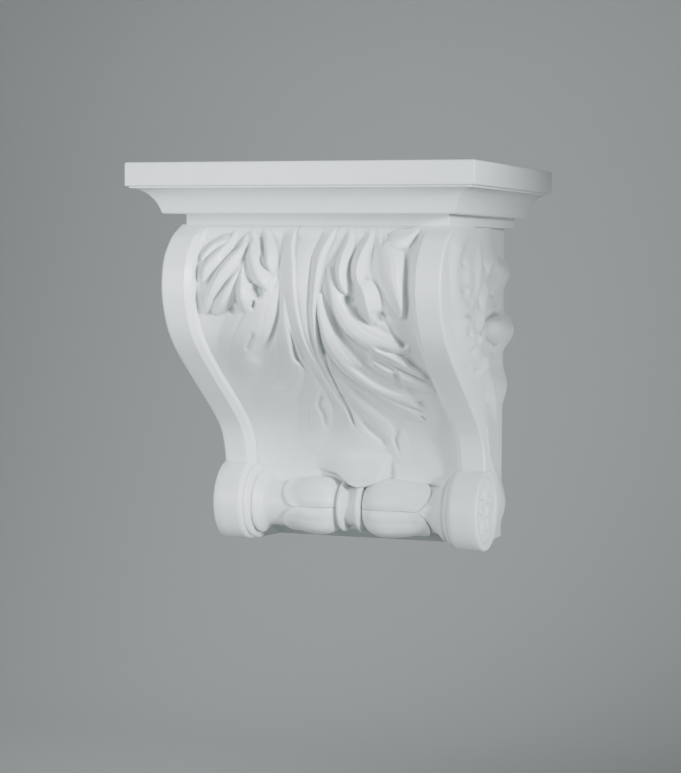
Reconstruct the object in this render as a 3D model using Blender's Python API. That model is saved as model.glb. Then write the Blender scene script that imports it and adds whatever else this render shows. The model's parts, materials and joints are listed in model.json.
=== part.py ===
"""A wall corbel cast in one piece: a moulded slab over an S-shaped body with an acanthus leaf, carved
sides and a turned roll along the foot. Sizes are named in millimetres and built in metres.
+Z is up, -Y is the front, and the origin is the middle of the flat back."""

import math

import bmesh
import bpy
import numpy as np

MM = 0.001

# Whole piece
HEIGHT = 250.0
SLAB_WIDTH = 228.0
SLAB_DEPTH = 190.0

# Slab, hollow moulding under it and the neck
SLAB_THICKNESS = 14.8
SLAB_EDGE = 0.9
QUIRK = 2.0
QUIRK_DROP = 1.0
HOLLOW_DROP = 14.8
HOLLOW_INSET = 17.4
HOLLOW_ANGLE = 70.0
FILLET_DROP = 0.8
NECK_DROP = 6.8
SLAB_BOTTOM = HEIGHT - SLAB_THICKNESS
HOLLOW_TOP = SLAB_BOTTOM - QUIRK_DROP
HOLLOW_BOTTOM = HOLLOW_TOP - HOLLOW_DROP
FILLET_BOTTOM = HOLLOW_BOTTOM - FILLET_DROP
NECK_BOTTOM = FILLET_BOTTOM - NECK_DROP
NECK_SIDE_INSET = 26.0
NECK_FRONT_INSET = 36.8

# Body. Its heights are drawn for a top of BODY_TOP, which laps NECK_LAP behind the neck, and stretched to fit
# under it. First the front edge of the two bands, as (height, distance from the wall)
BAND_LINE = [
    (46, 78.4), (56, 79.4), (66, 82.2), (76, 87.6), (88, 101.2), (102, 120.8), (116, 140.5),
    (130, 159.2), (141, 171.2), (151, 177.6), (162, 182.2), (172, 184.0), (182, 183.2),
    (191, 180.0), (199, 173.6), (205, 166.5), (209, 158.5), (212, 152.8), (222, 152.6),
]
BODY_TOP = 222.0
NECK_LAP = 10.2
DRAWN_NECK = BODY_TOP - NECK_LAP
BODY_HALF = 91.7
CORE_FRONT = 70.0
CORE_TOP = 44.0
CORE_EDGE = 15.0
CORE_UNDERCUT = 26.0
BAND_WIDTH = 19.4
BAND_BEVEL = 3.6
BAND_BEVEL_DROP = 3.4
EDGE_ROUND = 1.6
PANEL_DEPTH = 9.0

# Sides: the inner edge of the raised border, as (height, distance from the wall)
BORDER_LINE = [
    (46, 67.0), (56, 68.0), (66, 69.5), (76, 74.0), (88, 85.0), (102, 102.0), (116, 121.0),
    (130, 139.0), (146, 152.0), (160, 158.5), (175, 162.0), (190, 165.0), (199.7, 163.0),
    (204.6, 153.0), (208, 141.0), (211.8, 110.0), (222, 110.0),
]
SIDE_HALF = 80.0
SIDE_BASE = 1.2
SIDE_SWELL = 5.5
SIDE_NEAR = 0.84
SIDE_SHARE = 0.46
SIDE_EASE = 3.6

# Roll along the foot
ROLL_RADIUS = 27.0
ROLL_CENTRE = 73.0
ROLL_HALF = 92.0
BUD_CENTRE_HEIGHT = 25.5
BUD_LEAVES = 6

# Leaf on the front, whose two halves are carved a little differently: a lean of the crest to the left of the stroke's
# way, how sharp the crest is, and the stroke as (distance from the middle, height, half width, height of relief)
RIGHT_LOBES = [
    (-0.45, 0.15, [(18.0, 184, 2.4, 2.0), (22.4, 170.5, 5.2, 5.4), (26.4, 159.4, 7.8, 6.4), (31.7, 149.5, 9.4, 6.8),
                   (38.7, 142.4, 9.6, 6.6), (46.0, 139.4, 8.2, 6.0), (53.7, 137.6, 6.4, 5.0), (61.5, 136.0, 3.4, 2.8)]),
    (0.2, 0.3, [(38.0, 137.5, 5.8, 6.0), (46.0, 131.8, 6.4, 7.0), (53.4, 127.0, 5.4, 6.6), (60.0, 121.8, 4.0, 5.2),
                (65.5, 117.0, 2.2, 3.0)]),
    (0.2, 0.3, [(30, 133, 4.0, 3.0), (40, 124.5, 6.4, 5.6), (50, 116.5, 6.2, 6.2), (60, 111.5, 5.0, 5.4),
                (69, 108.0, 2.5, 3.0)]),
    (-0.35, 0.35, [(11.9, 168, 2.4, 2.5), (13.0, 158, 4.6, 5.0), (14.2, 149.5, 6.0, 6.2), (15.4, 141, 7.8, 6.8),
                   (17.6, 132.5, 9.2, 7.2), (21.6, 122.5, 9.6, 7.2), (29.0, 112.6, 8.6, 6.8), (39.0, 105.4, 7.4, 6.4),
                   (49.5, 100.4, 6.0, 5.8), (59.5, 95.0, 3.0, 3.5)]),
    (0.2, 0.3, [(28, 108, 4.0, 3.0), (37, 98.5, 6.6, 5.2), (46.5, 91.6, 5.6, 5.0), (55, 86.5, 2.6, 3.0)]),
    (-0.2, 0.1, [(6, 128, 4.0, 2.5), (11, 109, 8.4, 3.6), (17, 94.5, 11.0, 3.6), (24, 81.5, 11.5, 2.8),
                 (29.5, 70, 9.4, 1.8), (32, 60, 6.0, 0.8)]),
    (0.0, 0.5, [(24.7, 210.0, 2.5, 2.0), (26.6, 199.5, 4.0, 5.5), (26.2, 191, 5.0, 7.0), (26.0, 183, 5.2, 7.2),
                (27.4, 175, 4.4, 6.5), (29.6, 169.5, 2.0, 4.0)]),
    (0.2, 0.8, [(38.0, 211, 3.0, 2.0), (38.6, 202, 4.4, 6.0), (37.6, 195, 5.6, 7.8), (36.6, 188, 6.4, 8.4),
                (36.6, 181.5, 5.6, 8.4), (38.2, 176.5, 4.6, 8.0), (41.5, 170.5, 7.8, 9.8), (42.9, 164.3, 8.6, 10.8),
                (43.7, 157.8, 6.2, 9.2), (43.0, 151.6, 2.0, 4.0)]),
    (0.4, 0.15, [(44.5, 205, 3.6, 2.5), (50.2, 197.5, 6.6, 5.8), (54.8, 190.7, 9.8, 7.0), (57.0, 183.0, 10.0, 7.2),
                 (59.5, 173.9, 8.0, 6.8), (61.9, 165.3, 5.8, 6.2), (63.4, 156.5, 2.8, 3.5)]),
    (0.0, 0.0, [(50.5, 199.5, 2.6, 4.0), (55.7, 202.6, 6.0, 7.2), (60.6, 203.0, 6.6, 7.8), (64.1, 205.0, 4.8, 6.6),
                 (67.5, 209.0, 2.2, 3.0)]),
]
LEFT_LOBES = [
    (-0.2, 0.0, [(20, 176, 5.0, 2.4), (28, 163, 12.0, 5.2), (35, 150, 17.0, 5.6), (43, 139, 17.0, 5.0), (52, 129, 13.0, 3.6),
                 (60, 121, 8.0, 2.0)]),
    (-0.35, 0.1, [(11.9, 168, 2.4, 2.5), (13.6, 152, 5.5, 4.4), (15.4, 141, 8.4, 4.6), (19.0, 127, 11.0, 4.2),
                  (28.0, 114.0, 12.0, 3.2), (41.0, 104.0, 11.0, 2.4), (54.0, 96.0, 8.0, 1.0)]),
    (-0.2, 0.0, [(6, 128, 4.0, 2.2), (11, 109, 8.4, 3.0), (17, 94.5, 11.0, 2.8), (24, 81.5, 11.5, 2.0), (30, 69, 9.0, 1.0)]),
    (0.0, 0.1, [(32.0, 209, 2.4, 2.5), (26.4, 200.4, 3.6, 6.0), (23.0, 194.5, 4.4, 7.5), (21.2, 188.5, 4.2, 7.5),
                (20.4, 183.0, 2.0, 4.0)]),
    (0.0, 0.1, [(40.2, 207, 2.6, 2.5), (35.8, 197.7, 5.0, 6.5), (31.6, 189.1, 7.2, 7.8), (28.2, 181.9, 7.8, 8.0),
                (24.6, 176.0, 6.0, 7.5), (21.7, 170.6, 2.4, 4.0)]),
    (0.0, 0.1, [(38.7, 186.5, 2.6, 4.0), (37.9, 179.2, 5.2, 7.5), (37.2, 171.9, 7.4, 9.8), (37.0, 165.3, 7.4, 10.2),
                (37.8, 159.9, 4.8, 7.0), (38.6, 156.0, 2.0, 3.0)]),
    (0.0, 0.1, [(41.1, 190.5, 2.4, 3.0), (43.2, 181.1, 5.0, 6.5), (47.0, 171.8, 6.6, 7.2), (52.4, 164.4, 6.4, 6.6),
                (59.3, 157.6, 3.0, 3.5)]),
    (0.2, 0.1, [(42.9, 204, 2.4, 3.0), (42.0, 196.3, 4.6, 6.6), (45.4, 190.0, 6.2, 7.6), (50.2, 182.3, 7.2, 7.9),
                (55.6, 173.0, 7.2, 7.4), (60.6, 164.9, 5.2, 6.2), (65.6, 157.8, 2.4, 3.2)]),
    (0.2, 0.1, [(51.6, 206, 2.2, 2.5), (53.2, 197.5, 4.6, 6.0), (57.6, 190.6, 6.2, 7.0), (62.4, 184.2, 5.2, 6.6),
                (65.4, 177.2, 2.6, 4.0)]),
    (0.0, 0.1, [(67.5, 190.6, 2.2, 4.0), (62.2, 198.4, 4.0, 6.2), (56.6, 201.4, 4.2, 6.2), (50.8, 201.3, 2.0, 3.0)]),
]
# The two middle ribs and the broad one between them, with their crests to the right and their places left of the middle below zero
STEMS = [
    (0.85, 0.5, [(-14.6, 213, 4.4, 2.6), (-14.0, 203, 4.5, 5.2), (-9.9, 186, 6.0, 5.6), (-8.7, 167, 6.5, 5.6),
                  (-8.0, 150, 6.5, 5.4), (-6.2, 138, 5.0, 5.0), (-5.0, 125, 4.4, 4.4), (-3.2, 110, 3.2, 3.4),
                  (-1.2, 90, 2.2, 2.0), (0.5, 76, 1.4, 1.0)]),
    (0.55, 0.35, [(11.8, 213, 5.0, 2.6), (11.0, 205, 5.0, 5.4), (9.2, 192, 5.2, 5.8), (8.7, 180, 4.2, 5.8),
                  (7.5, 167, 3.6, 5.6), (6.0, 159, 3.8, 5.4), (5.0, 150, 3.5, 5.2), (3.3, 136, 2.9, 4.6),
                  (2.2, 121, 2.2, 3.8), (1.5, 100, 1.6, 2.4), (1.0, 85, 1.0, 1.0)]),
    (0.0, 0.0, [(-1.5, 213, 9.0, 1.0), (-1.5, 200, 9.0, 2.4), (-0.5, 183, 8.5, 3.2), (-0.5, 167, 8.0, 3.6),
                (-1.0, 150, 7.0, 3.8), (-1.2, 136, 5.0, 3.6), (-1.0, 121, 3.6, 3.0), (0.0, 100, 2.2, 1.8), (0.7, 85, 1.2, 0.6)]),
]
LEAF_EASE = 1.2
# Hollows between the lobes, as (distance from the middle, height, radius, depth)
RIGHT_EYES = [(30.6, 166, 2.6, 5.0), (49.8, 155.6, 3.0, 5.0), (58.0, 97.0, 3.0, 3.0)]
LEFT_EYES = [(29.2, 170.3, 3.2, 5.0), (48.0, 158.0, 2.2, 3.0)]
# The leaf's end is a broad tongue that hangs over the roll: its lower edge as (place left or right of the middle,
# height), its relief above the panel and its reach to either side as (height, length)
TIP_EDGE = [(-30.0, 50.0), (-24.0, 48.6), (-17.0, 47.0), (-13.0, 46.3), (-9.0, 44.8), (-4.0, 42.0), (1.0, 39.3), (6.6, 38.2),
            (14.0, 39.9), (19.8, 42.1), (24.6, 45.0), (30.0, 50.0)]
TIP_RISE = [(37.0, 19.4), (40.0, 18.6), (44.5, 16.2), (47.0, 14.4), (52.0, 10.5), (58.0, 6.8), (66.0, 4.4), (76.0, 3.6),
            (90.0, 3.0), (104.0, 0.0)]
TIP_LEFT = [(37.0, 33.0), (58.0, 34.0), (66.0, 31.0), (76.0, 24.0), (90.0, 13.0), (104.0, 5.0)]
TIP_RIGHT = [(37.0, 21.4), (58.0, 21.4), (66.0, 21.0), (76.0, 18.0), (90.0, 10.0), (104.0, 4.0)]
TIP_MIDDLE = 4.0
TIP_BOTTOM = 36.5

# Carving on the sides: lean, sharpness and the stroke as (distance from the wall, height, half width, height of relief)
SIDE_LOBES = [
    (0.0, 0.2, [(107.8, 205, 5.6, 3.0), (128.0, 199, 9.0, 8.6), (139.0, 190, 11.0, 10.2), (142.0, 180, 11.6, 10.8),
                (139.0, 169.7, 11.8, 10.8), (128.0, 161.8, 11.6, 10.8), (111.4, 156.8, 9.6, 9.8)]),
    (0.0, 0.3, [(77.7, 199, 3.7, 2.5), (79.8, 192, 5.5, 6.0), (82.1, 182.6, 6.9, 8.5), (87.6, 173.4, 7.4, 9.0),
                (97.1, 165.1, 7.9, 9.2), (109.1, 159.4, 7.9, 9.2)]),
    (0.0, 0.3, [(101.4, 186, 3.7, 5.0), (107.5, 179.5, 5.5, 7.5), (105.0, 174.4, 4.2, 6.0)]),
    (0.0, 0.2, [(124.0, 160, 15.0, 10.4), (117.3, 151.6, 18.0, 10.6), (106.1, 142.8, 17.0, 10.4), (92.4, 133.9, 14.4, 9.8),
                (79.0, 125.0, 11.6, 8.6), (64.5, 118.5, 8.3, 7.0), (49.6, 110.7, 6.9, 6.5), (37.2, 102.0, 6.5, 6.0),
                (29.4, 94.4, 5.5, 5.5), (17.6, 84.5, 3.7, 3.0)]),
    (0.0, 0.3, [(53.5, 179.5, 3.2, 4.0), (59.5, 173.8, 4.8, 6.5), (65.3, 166.1, 5.8, 7.5), (70.8, 156.8, 6.8, 8.2),
                (76.1, 147.5, 8.0, 8.4), (80.8, 139.9, 9.2, 8.2)]),
    (0.0, 0.3, [(26.0, 193, 3.2, 4.0), (43.4, 190.4, 4.6, 6.0), (53.5, 185.5, 5.1, 6.5), (54.2, 179.0, 4.2, 5.0)]),
    (0.0, 0.3, [(31.0, 186.7, 3.5, 4.0), (21.7, 184.9, 6.5, 5.5), (9.3, 181.7, 9.2, 6.0), (-4.0, 180.5, 9.4, 5.2)]),
    (0.0, 0.3, [(46.0, 147.0, 4.5, 5.0), (37.8, 145.8, 8.4, 8.5), (27.3, 144.4, 11.5, 10.0), (12.0, 143.0, 13.4, 10.2),
                (-4.0, 142.5, 13.6, 9.6)]),
    (0.0, 0.3, [(21.0, 157.6, 2.6, 4.0), (43.3, 154.6, 4.4, 6.5), (56.0, 149.6, 4.8, 7.0), (64.1, 144.9, 4.8, 6.8)]),
    (0.0, 0.3, [(43.3, 111.2, 4.5, 4.4), (26.6, 108.1, 9.0, 4.6), (6.8, 105.1, 12.6, 4.4), (-4.0, 104.5, 13.0, 3.8)]),
    (0.0, 0.3, [(52.0, 79.0, 2.6, 2.5), (50.0, 66.0, 3.4, 4.0), (45.0, 56.0, 4.0, 4.5)]),
    (0.0, 0.3, [(34, 54, 4.0, 4.0), (24, 44, 7.0, 4.6), (13, 33, 10.0, 4.6), (3, 25, 12.5, 4.2), (-4, 22, 13.0, 3.6)]),
]
SIDE_EYES = [
    (114.0, 170.4, 4.4, 3.6), (47.0, 174.6, 4.4, 3.0), (34.0, 171.6, 4.8, 3.4), (44.0, 136.8, 4.0, 2.6), (30.0, 132.4, 4.4, 3.0),
]

# The pieces reach this far behind the wall's plane before the back is cut flat
BEHIND = 4.0

# Fineness of the mesh
PANEL_COLUMNS = 72
SIDE_COLUMNS = 48
ROW_STEP = 2.1
BODY_TRIANGLES = 6900
ROLL_SIDES = 36
ROLL_TRIANGLES = 2500


def curve(stations, at):
    """A smooth line through the stations that doesn't overshoot them."""
    x = np.array([s[0] for s in stations], float)
    y = np.array([s[1] for s in stations], float)
    step = np.diff(x)
    rise = np.diff(y) / step
    slope = np.zeros(len(x))
    slope[0], slope[-1] = rise[0], rise[-1]
    for k in range(1, len(x) - 1):
        if rise[k - 1] * rise[k] > 0:
            a, b = 2 * step[k] + step[k - 1], step[k] + 2 * step[k - 1]
            slope[k] = (a + b) / (a / rise[k - 1] + b / rise[k])
    at = np.clip(np.asarray(at, float), x[0], x[-1])
    k = np.clip(np.searchsorted(x, at, "right") - 1, 0, len(x) - 2)
    t = (at - x[k]) / step[k]
    return (
        (1 + 2 * t) * (1 - t) ** 2 * y[k]
        + t * (1 - t) ** 2 * step[k] * slope[k]
        + t * t * (3 - 2 * t) * y[k + 1]
        + t * t * (t - 1) * step[k] * slope[k + 1]
    )


def ease(value):
    value = np.clip(value, 0.0, 1.0)
    return value * value * (3 - 2 * value)


def stroke_path(points, parts=5):
    """The lobe's points with smooth ones between them."""
    points = np.array(points, float)
    padded = np.vstack([2 * points[0] - points[1], points, 2 * points[-1] - points[-2]])
    found = []
    for k in range(1, len(padded) - 2):
        a, b, c, d = padded[k - 1], padded[k], padded[k + 1], padded[k + 2]
        for t in np.arange(parts) / parts:
            found.append(0.5 * (2 * b + (c - a) * t + (2 * a - 5 * b + 4 * c - d) * t * t + (3 * b - a - 3 * c + d) * t ** 3))
    found.append(points[-1])
    return np.array(found)


def relief(lobes, across, height):
    """Height of the carving where each lobe is a ridged stroke and the highest one shows."""
    top = np.zeros(np.shape(across))
    for lean, sharp, points in lobes:
        path = stroke_path(points)
        best = np.full(top.shape, 9.0)
        side = np.zeros_like(top)
        high = np.zeros_like(top)
        for (x0, z0, w0, h0), (x1, z1, w1, h1) in zip(path[:-1], path[1:]):
            dx, dz = x1 - x0, z1 - z0
            t = np.clip(((across - x0) * dx + (height - z0) * dz) / (dx * dx + dz * dz), 0, 1)
            gx, gz = across - x0 - t * dx, height - z0 - t * dz
            gap = np.hypot(gx, gz)
            r = gap / np.maximum(w0 + t * (w1 - w0), 0.5)
            closer = r < best
            best = np.where(closer, r, best)
            side = np.where(closer, (dx * gz - dz * gx) / (math.hypot(dx, dz) * np.maximum(gap, 1e-6)), side)
            high = np.where(closer, h0 + t * (h1 - h0), high)
        off = np.clip(best, 0, 1) * np.sign(side)
        crest = lean * np.abs(side)
        t = np.where(off > crest, (off - crest) / (1 - crest), (crest - off) / (1 + crest))
        t = np.clip(np.where(best >= 1, 1, t), 0, 1)
        top = np.maximum(top, high * ((1 - sharp) * (1 - t * t) + sharp * (1 - t)))
    return top


def pits(eyes, across, height):
    depth = np.zeros(np.shape(across))
    for x, z, radius, deep in eyes:
        depth = depth + deep * np.exp(-((across - x) ** 2 + (height - z) ** 2) / radius ** 2)
    return depth


def leaf(across, height):
    """Relief of the front leaf above the sunk panel."""
    x = np.abs(across)
    top = np.where(across < 0, relief(LEFT_LOBES, x, height), relief(RIGHT_LOBES, x, height))
    top = np.maximum(top, relief(STEMS, across, height))
    off = across - TIP_MIDDLE
    reach = np.where(off > 0, curve(TIP_RIGHT, height), curve(TIP_LEFT, height))
    r = np.clip(np.abs(off) / reach, 0, 1)
    crisp = np.where(off > 0, ease((63 - height) / 8), 0.0)
    lip = np.clip((height - curve(TIP_EDGE, across)) / 2.6, 0, 1)
    fall = (1 - crisp) * (1 - r * r) ** 1.9 + crisp * (1 - r ** 9)
    tip = curve(TIP_RISE, height) * fall * (1 - (1 - lip) ** 4)
    top = np.where((height > TIP_BOTTOM) & (height < 103), np.maximum(top, tip), top)
    eyes = np.where(across < 0, pits(LEFT_EYES, x, height), pits(RIGHT_EYES, x, height))
    return np.maximum(top - eyes, -1.0)


def soft_leaf(across, height):
    """The leaf with its steepest edges eased a little."""
    total = 2 * leaf(across, height)
    for dx, dz in ((LEAF_EASE, 0), (-LEAF_EASE, 0), (0, LEAF_EASE), (0, -LEAF_EASE)):
        total = total + leaf(across + dx, height + dz)
    return total / 6


def front_distance(across, height):
    """Distance from the wall to the front surface."""
    x = np.abs(across)
    line = curve(BAND_LINE, height)
    low = ease((CORE_TOP + 6 - height) / 12)
    inner = BODY_HALF - BAND_WIDTH
    bevel = BAND_BEVEL_DROP * np.clip((inner + BAND_BEVEL - x) / BAND_BEVEL, 0, 1)
    sunk = ease((inner - x) / 1.2)
    fade = ease((DRAWN_NECK - 0.3 - height) / 9.0)
    carved = soft_leaf(across, height)
    panel = fade * (-PANEL_DEPTH + carved)
    field = line + np.where(x >= inner, -bevel * fade, (1 - sunk) * -bevel * fade + sunk * panel)
    field = np.where((x < inner) & (height > DRAWN_NECK - 0.9), np.maximum(field, SLAB_DEPTH - NECK_FRONT_INSET + 0.1), field)
    corner = np.clip((x - (BODY_HALF - EDGE_ROUND)) / EDGE_ROUND, 0, 1)
    field = field - EDGE_ROUND * (1 - np.sqrt(1 - np.minimum(corner, 0.995) ** 2))
    core = CORE_FRONT + np.where(height > TIP_BOTTOM, np.maximum(carved - 1.5, 0.0), 0.0)
    core = core - CORE_UNDERCUT * np.clip((CORE_EDGE - height) / CORE_EDGE, 0, 1) ** 1.5 * ease((inner + 1.7 - x) / 5.0)
    return field * (1 - low) + core * low


def side_distance(depth, height):
    """Distance from the middle to the side surface: low scrolls on a raised ground, and bold ones near the wall."""
    inner = curve(BORDER_LINE, height)
    away = ease((depth - 14.0) / 50.0)
    carved = np.zeros(np.shape(depth))
    for dp in (-1, 0, 1):
        for dz in (-1, 0, 1):
            weight = (2 - abs(dp)) * (2 - abs(dz)) / 16
            carved = carved + weight * relief(SIDE_LOBES, depth + dp * SIDE_EASE, height + dz * SIDE_EASE)
    carved = carved * (SIDE_NEAR + (SIDE_SHARE - SIDE_NEAR) * away) * ease((DRAWN_NECK - 2.8 - height) / 8.0)
    rise = SIDE_BASE + (SIDE_SWELL - SIDE_BASE) * away * ease((height - 30.0) / 30.0)
    ground = SIDE_HALF + np.clip(rise + carved - pits(SIDE_EYES, depth, height), -1.0, 11.0)
    border = ease((depth - inner) / 2.0) * ease((height - 14.0) / 22.0)
    side = ground + (BODY_HALF - ground) * border
    within = ease((24.5 - np.hypot(depth - ROLL_CENTRE, height - ROLL_RADIUS)) / 1.5)
    return side - within * np.maximum(side - (BODY_HALF - 3.2), 0.0)


def body_rings(columns, step, side_columns):
    """Level outlines of the body, all with the same number of points, from the top down."""
    inner = BODY_HALF - BAND_WIDTH
    panel = np.linspace(-1, 1, columns) * (inner - 1.3)
    band = np.array([inner - 0.6, inner, inner + 0.5 * BAND_BEVEL, inner + BAND_BEVEL,
                     BODY_HALF - EDGE_ROUND - 4.0, BODY_HALF - EDGE_ROUND, BODY_HALF - 0.3 * EDGE_ROUND, BODY_HALF])
    across = np.concatenate([band[::-1], panel[::-1], -band])
    rise = (NECK_BOTTOM + NECK_LAP) / BODY_TOP
    rows = [BODY_TOP, DRAWN_NECK + 3.2, DRAWN_NECK + 0.2, DRAWN_NECK - 0.8]
    rows += list(np.arange(DRAWN_NECK - 2.0, 47.0, -step))
    rows += [46.0, 44.0, 42.0, 40.5, 39.0, 38.0, 37.0, 36.2, 30.0, 22.0, CORE_EDGE, 0.8 * CORE_EDGE, 0.6 * CORE_EDGE,
             0.4 * CORE_EDGE, 0.2 * CORE_EDGE, 0.0]
    rings = []
    for z in rows:
        front = front_distance(across, np.full_like(across, z))
        corner = front[0]
        edge = min(float(curve(BORDER_LINE, z)), corner - 5.0)
        ground = np.linspace(-BEHIND, edge, side_columns)
        depth = np.concatenate([ground, [edge + 1.0, edge + 2.0, corner - 1.2]])
        side = side_distance(depth, np.full_like(depth, z))
        half = side[-1]
        side[-1] = half - 0.05
        scale = half / BODY_HALF
        level = z * rise
        right = [(s, -d, level) for s, d in zip(side, depth)]
        middle = [(x * scale, -d, level) for x, d in zip(across, front)]
        left = [(-s, -d, level) for s, d in zip(side[::-1], depth[::-1])]
        rings.append(right + middle + left)
    return rings


def lofted(name, rings):
    """One closed mesh through the rings, which run from the first cap to the last."""
    count = len(rings[0])
    mesh = bmesh.new()
    made = [[mesh.verts.new((x * MM, y * MM, (z - HEIGHT / 2) * MM)) for x, y, z in ring] for ring in rings]
    for upper, lower in zip(made[:-1], made[1:]):
        for k in range(count):
            n = (k + 1) % count
            mesh.faces.new((upper[k], upper[n], lower[n], lower[k]))
    mesh.faces.new(made[0][::-1])
    mesh.faces.new(made[-1])
    bmesh.ops.recalc_face_normals(mesh, faces=mesh.faces)
    bmesh.ops.triangulate(mesh, faces=mesh.faces, quad_method="SHORT_EDGE")
    if mesh.calc_volume(signed=True) < 0:
        bmesh.ops.reverse_faces(mesh, faces=mesh.faces)
    data = bpy.data.meshes.new(name)
    mesh.to_mesh(data)
    mesh.free()
    made_object = bpy.data.objects.new(name, data)
    bpy.context.scene.collection.objects.link(made_object)
    return made_object


def crown():
    """The slab, its hollow moulding and the neck, cut off flat at the wall."""
    steps = [(HEIGHT, SLAB_EDGE), (HEIGHT - 0.3 * SLAB_EDGE, 0.3 * SLAB_EDGE), (HEIGHT - SLAB_EDGE, 0.0),
             (SLAB_BOTTOM + SLAB_EDGE, 0.0), (SLAB_BOTTOM, SLAB_EDGE), (SLAB_BOTTOM, QUIRK), (HOLLOW_TOP, QUIRK)]
    end = math.radians(HOLLOW_ANGLE)
    for k in range(1, 9):
        a = end * k / 8
        steps.append((
            HOLLOW_TOP - (HOLLOW_TOP - HOLLOW_BOTTOM) * (1 - math.cos(a)) / (1 - math.cos(end)),
            QUIRK + (HOLLOW_INSET - QUIRK) * math.sin(a) / math.sin(end),
        ))
    levels = [(z, inset, inset) for z, inset in steps]
    levels += [(FILLET_BOTTOM, HOLLOW_INSET + 0.7, HOLLOW_INSET + 0.7),
               (FILLET_BOTTOM, NECK_SIDE_INSET, NECK_FRONT_INSET),
               (NECK_BOTTOM, NECK_SIDE_INSET, NECK_FRONT_INSET)]
    rings = []
    for z, side, front in levels:
        x, y = SLAB_WIDTH / 2 - side, SLAB_DEPTH - front
        r = SLAB_EDGE
        rings.append([(x, 2 * BEHIND, z), (x, -y + r, z), (x - 0.3 * r, -y + 0.3 * r, z), (x - r, -y, z),
                      (-x + r, -y, z), (-x + 0.3 * r, -y + 0.3 * r, z), (-x, -y + r, z), (-x, 2 * BEHIND, z)])
    return lofted("crown", rings)


def bud(x, angle):
    """Radius of the leafy bud between the collar and the flare."""
    t = (x - 9.0) / 48.0
    swell = math.sin(math.pi * min(max(t, 0.0), 1.0) ** 0.62)
    radius = 13.2 + 7.6 * max(swell, 0.0)
    groove = abs(math.sin(angle * BUD_LEAVES / 2))
    depth = 2.2 * max(swell, 0.0) ** 0.7
    return radius - depth * (1 - groove) ** 2.2


def roll_stations():
    """(distance from the middle, radius, kind) along half of the roll, from the middle outwards."""
    found = [(0.0, 12.6, "bare"), (3.4, 13.2, "bare"), (4.6, 16.2, "bare"), (6.4, 17.2, "bare"), (8.0, 16.0, "bare"),
             (9.2, 12.6, "bare")]
    found += [(x, 0.0, "bud") for x in (11.0, 13.5, 17.0, 21.0, 25.5, 30.5, 36.0, 41.5, 46.5, 51.0, 54.5, 57.0)]
    found += [(58.6, 12.8, "bare"), (61.0, 13.4, "bare"), (64.5, 15.6, "bare"), (67.5, 18.6, "bare"), (70.0, 22.0, "bare"),
              (71.6, 24.4, "bare"), (72.6, 24.0, "bare"), (73.4, 25.0, "bare"), (74.6, 26.6, "bare"),
              (76.5, ROLL_RADIUS, "bare"), (90.6, ROLL_RADIUS, "bare"), (91.7, 26.2, "bare"), (ROLL_HALF, 25.2, "bare"),
              (ROLL_HALF, 21.6, "bare"), (ROLL_HALF - 2.2, 20.4, "bare"), (ROLL_HALF - 2.4, 18.6, "petal"),
              (ROLL_HALF - 0.6, 14.0, "petal"), (ROLL_HALF + 0.2, 9.5, "petal"), (ROLL_HALF - 1.8, 6.2, "bare"),
              (ROLL_HALF + 0.6, 4.8, "bare"), (ROLL_HALF + 1.4, 2.4, "bare")]
    return found


def roll(sides):
    """The turned roll: end discs with rosettes, flares, leafy buds and a collar."""
    half = roll_stations()
    whole = [(-x, r, kind) for x, r, kind in half[::-1]] + half[1:]
    rings = []
    for x, radius, kind in whole:
        ring = []
        for k in range(sides):
            angle = 2 * math.pi * k / sides
            r, at = radius, x
            if kind == "bud":
                r = bud(abs(x), angle)
            if kind == "petal":
                wave = 0.5 + 0.5 * math.cos(5 * (angle - math.pi / 2))
                at = math.copysign(abs(x) - 1.7 * (1 - wave), x)
            middle = ROLL_RADIUS
            if abs(x) < 62.0:
                middle = BUD_CENTRE_HEIGHT
            elif abs(x) < 74.0:
                middle = BUD_CENTRE_HEIGHT + (ROLL_RADIUS - BUD_CENTRE_HEIGHT) * (abs(x) - 62.0) / 12.0
            ring.append((at, -ROLL_CENTRE - r * math.cos(angle), middle + r * math.sin(angle)))
        rings.append(ring)
    return lofted("roll", rings)


def applied(made_object):
    """The object's mesh with its modifiers worked in."""
    bpy.context.view_layer.update()
    graph = bpy.context.evaluated_depsgraph_get()
    data = bpy.data.meshes.new_from_object(made_object.evaluated_get(graph))
    made_object.modifiers.clear()
    made_object.data = data
    return made_object


def thinned(made_object, triangles):
    """Fewer triangles, kept where the carving needs them."""
    modifier = made_object.modifiers.new("thin", "DECIMATE")
    modifier.decimate_type = "COLLAPSE"
    modifier.ratio = triangles / len(made_object.data.polygons)
    modifier.use_collapse_triangulate = True
    return applied(made_object)


def joined(base, other):
    modifier = base.modifiers.new("union", "BOOLEAN")
    modifier.operation = "UNION"
    modifier.solver = "EXACT"
    modifier.object = other
    applied(base)
    bpy.data.objects.remove(other)
    return base


def cut_flat(base):
    """Takes off what lies behind the wall's plane."""
    x, z, far = SLAB_WIDTH, HEIGHT, 8 * BEHIND
    corners = [[(-x, far, level), (x, far, level), (x, 0, level), (-x, 0, level)] for level in (z + 20, -20)]
    cutter = lofted("cutter", corners)
    modifier = base.modifiers.new("back", "BOOLEAN")
    modifier.operation = "DIFFERENCE"
    modifier.solver = "EXACT"
    modifier.object = cutter
    applied(base)
    bpy.data.objects.remove(cutter)
    return base


def material():
    made = bpy.data.materials.new("primed_casting")
    made.use_nodes = True
    shader = made.node_tree.nodes["Principled BSDF"]
    shader.inputs["Base Color"].default_value = (0.76, 0.78, 0.775, 1.0)
    shader.inputs["Roughness"].default_value = 0.55
    made.diffuse_color = (0.76, 0.78, 0.775, 1.0)
    return made


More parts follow.
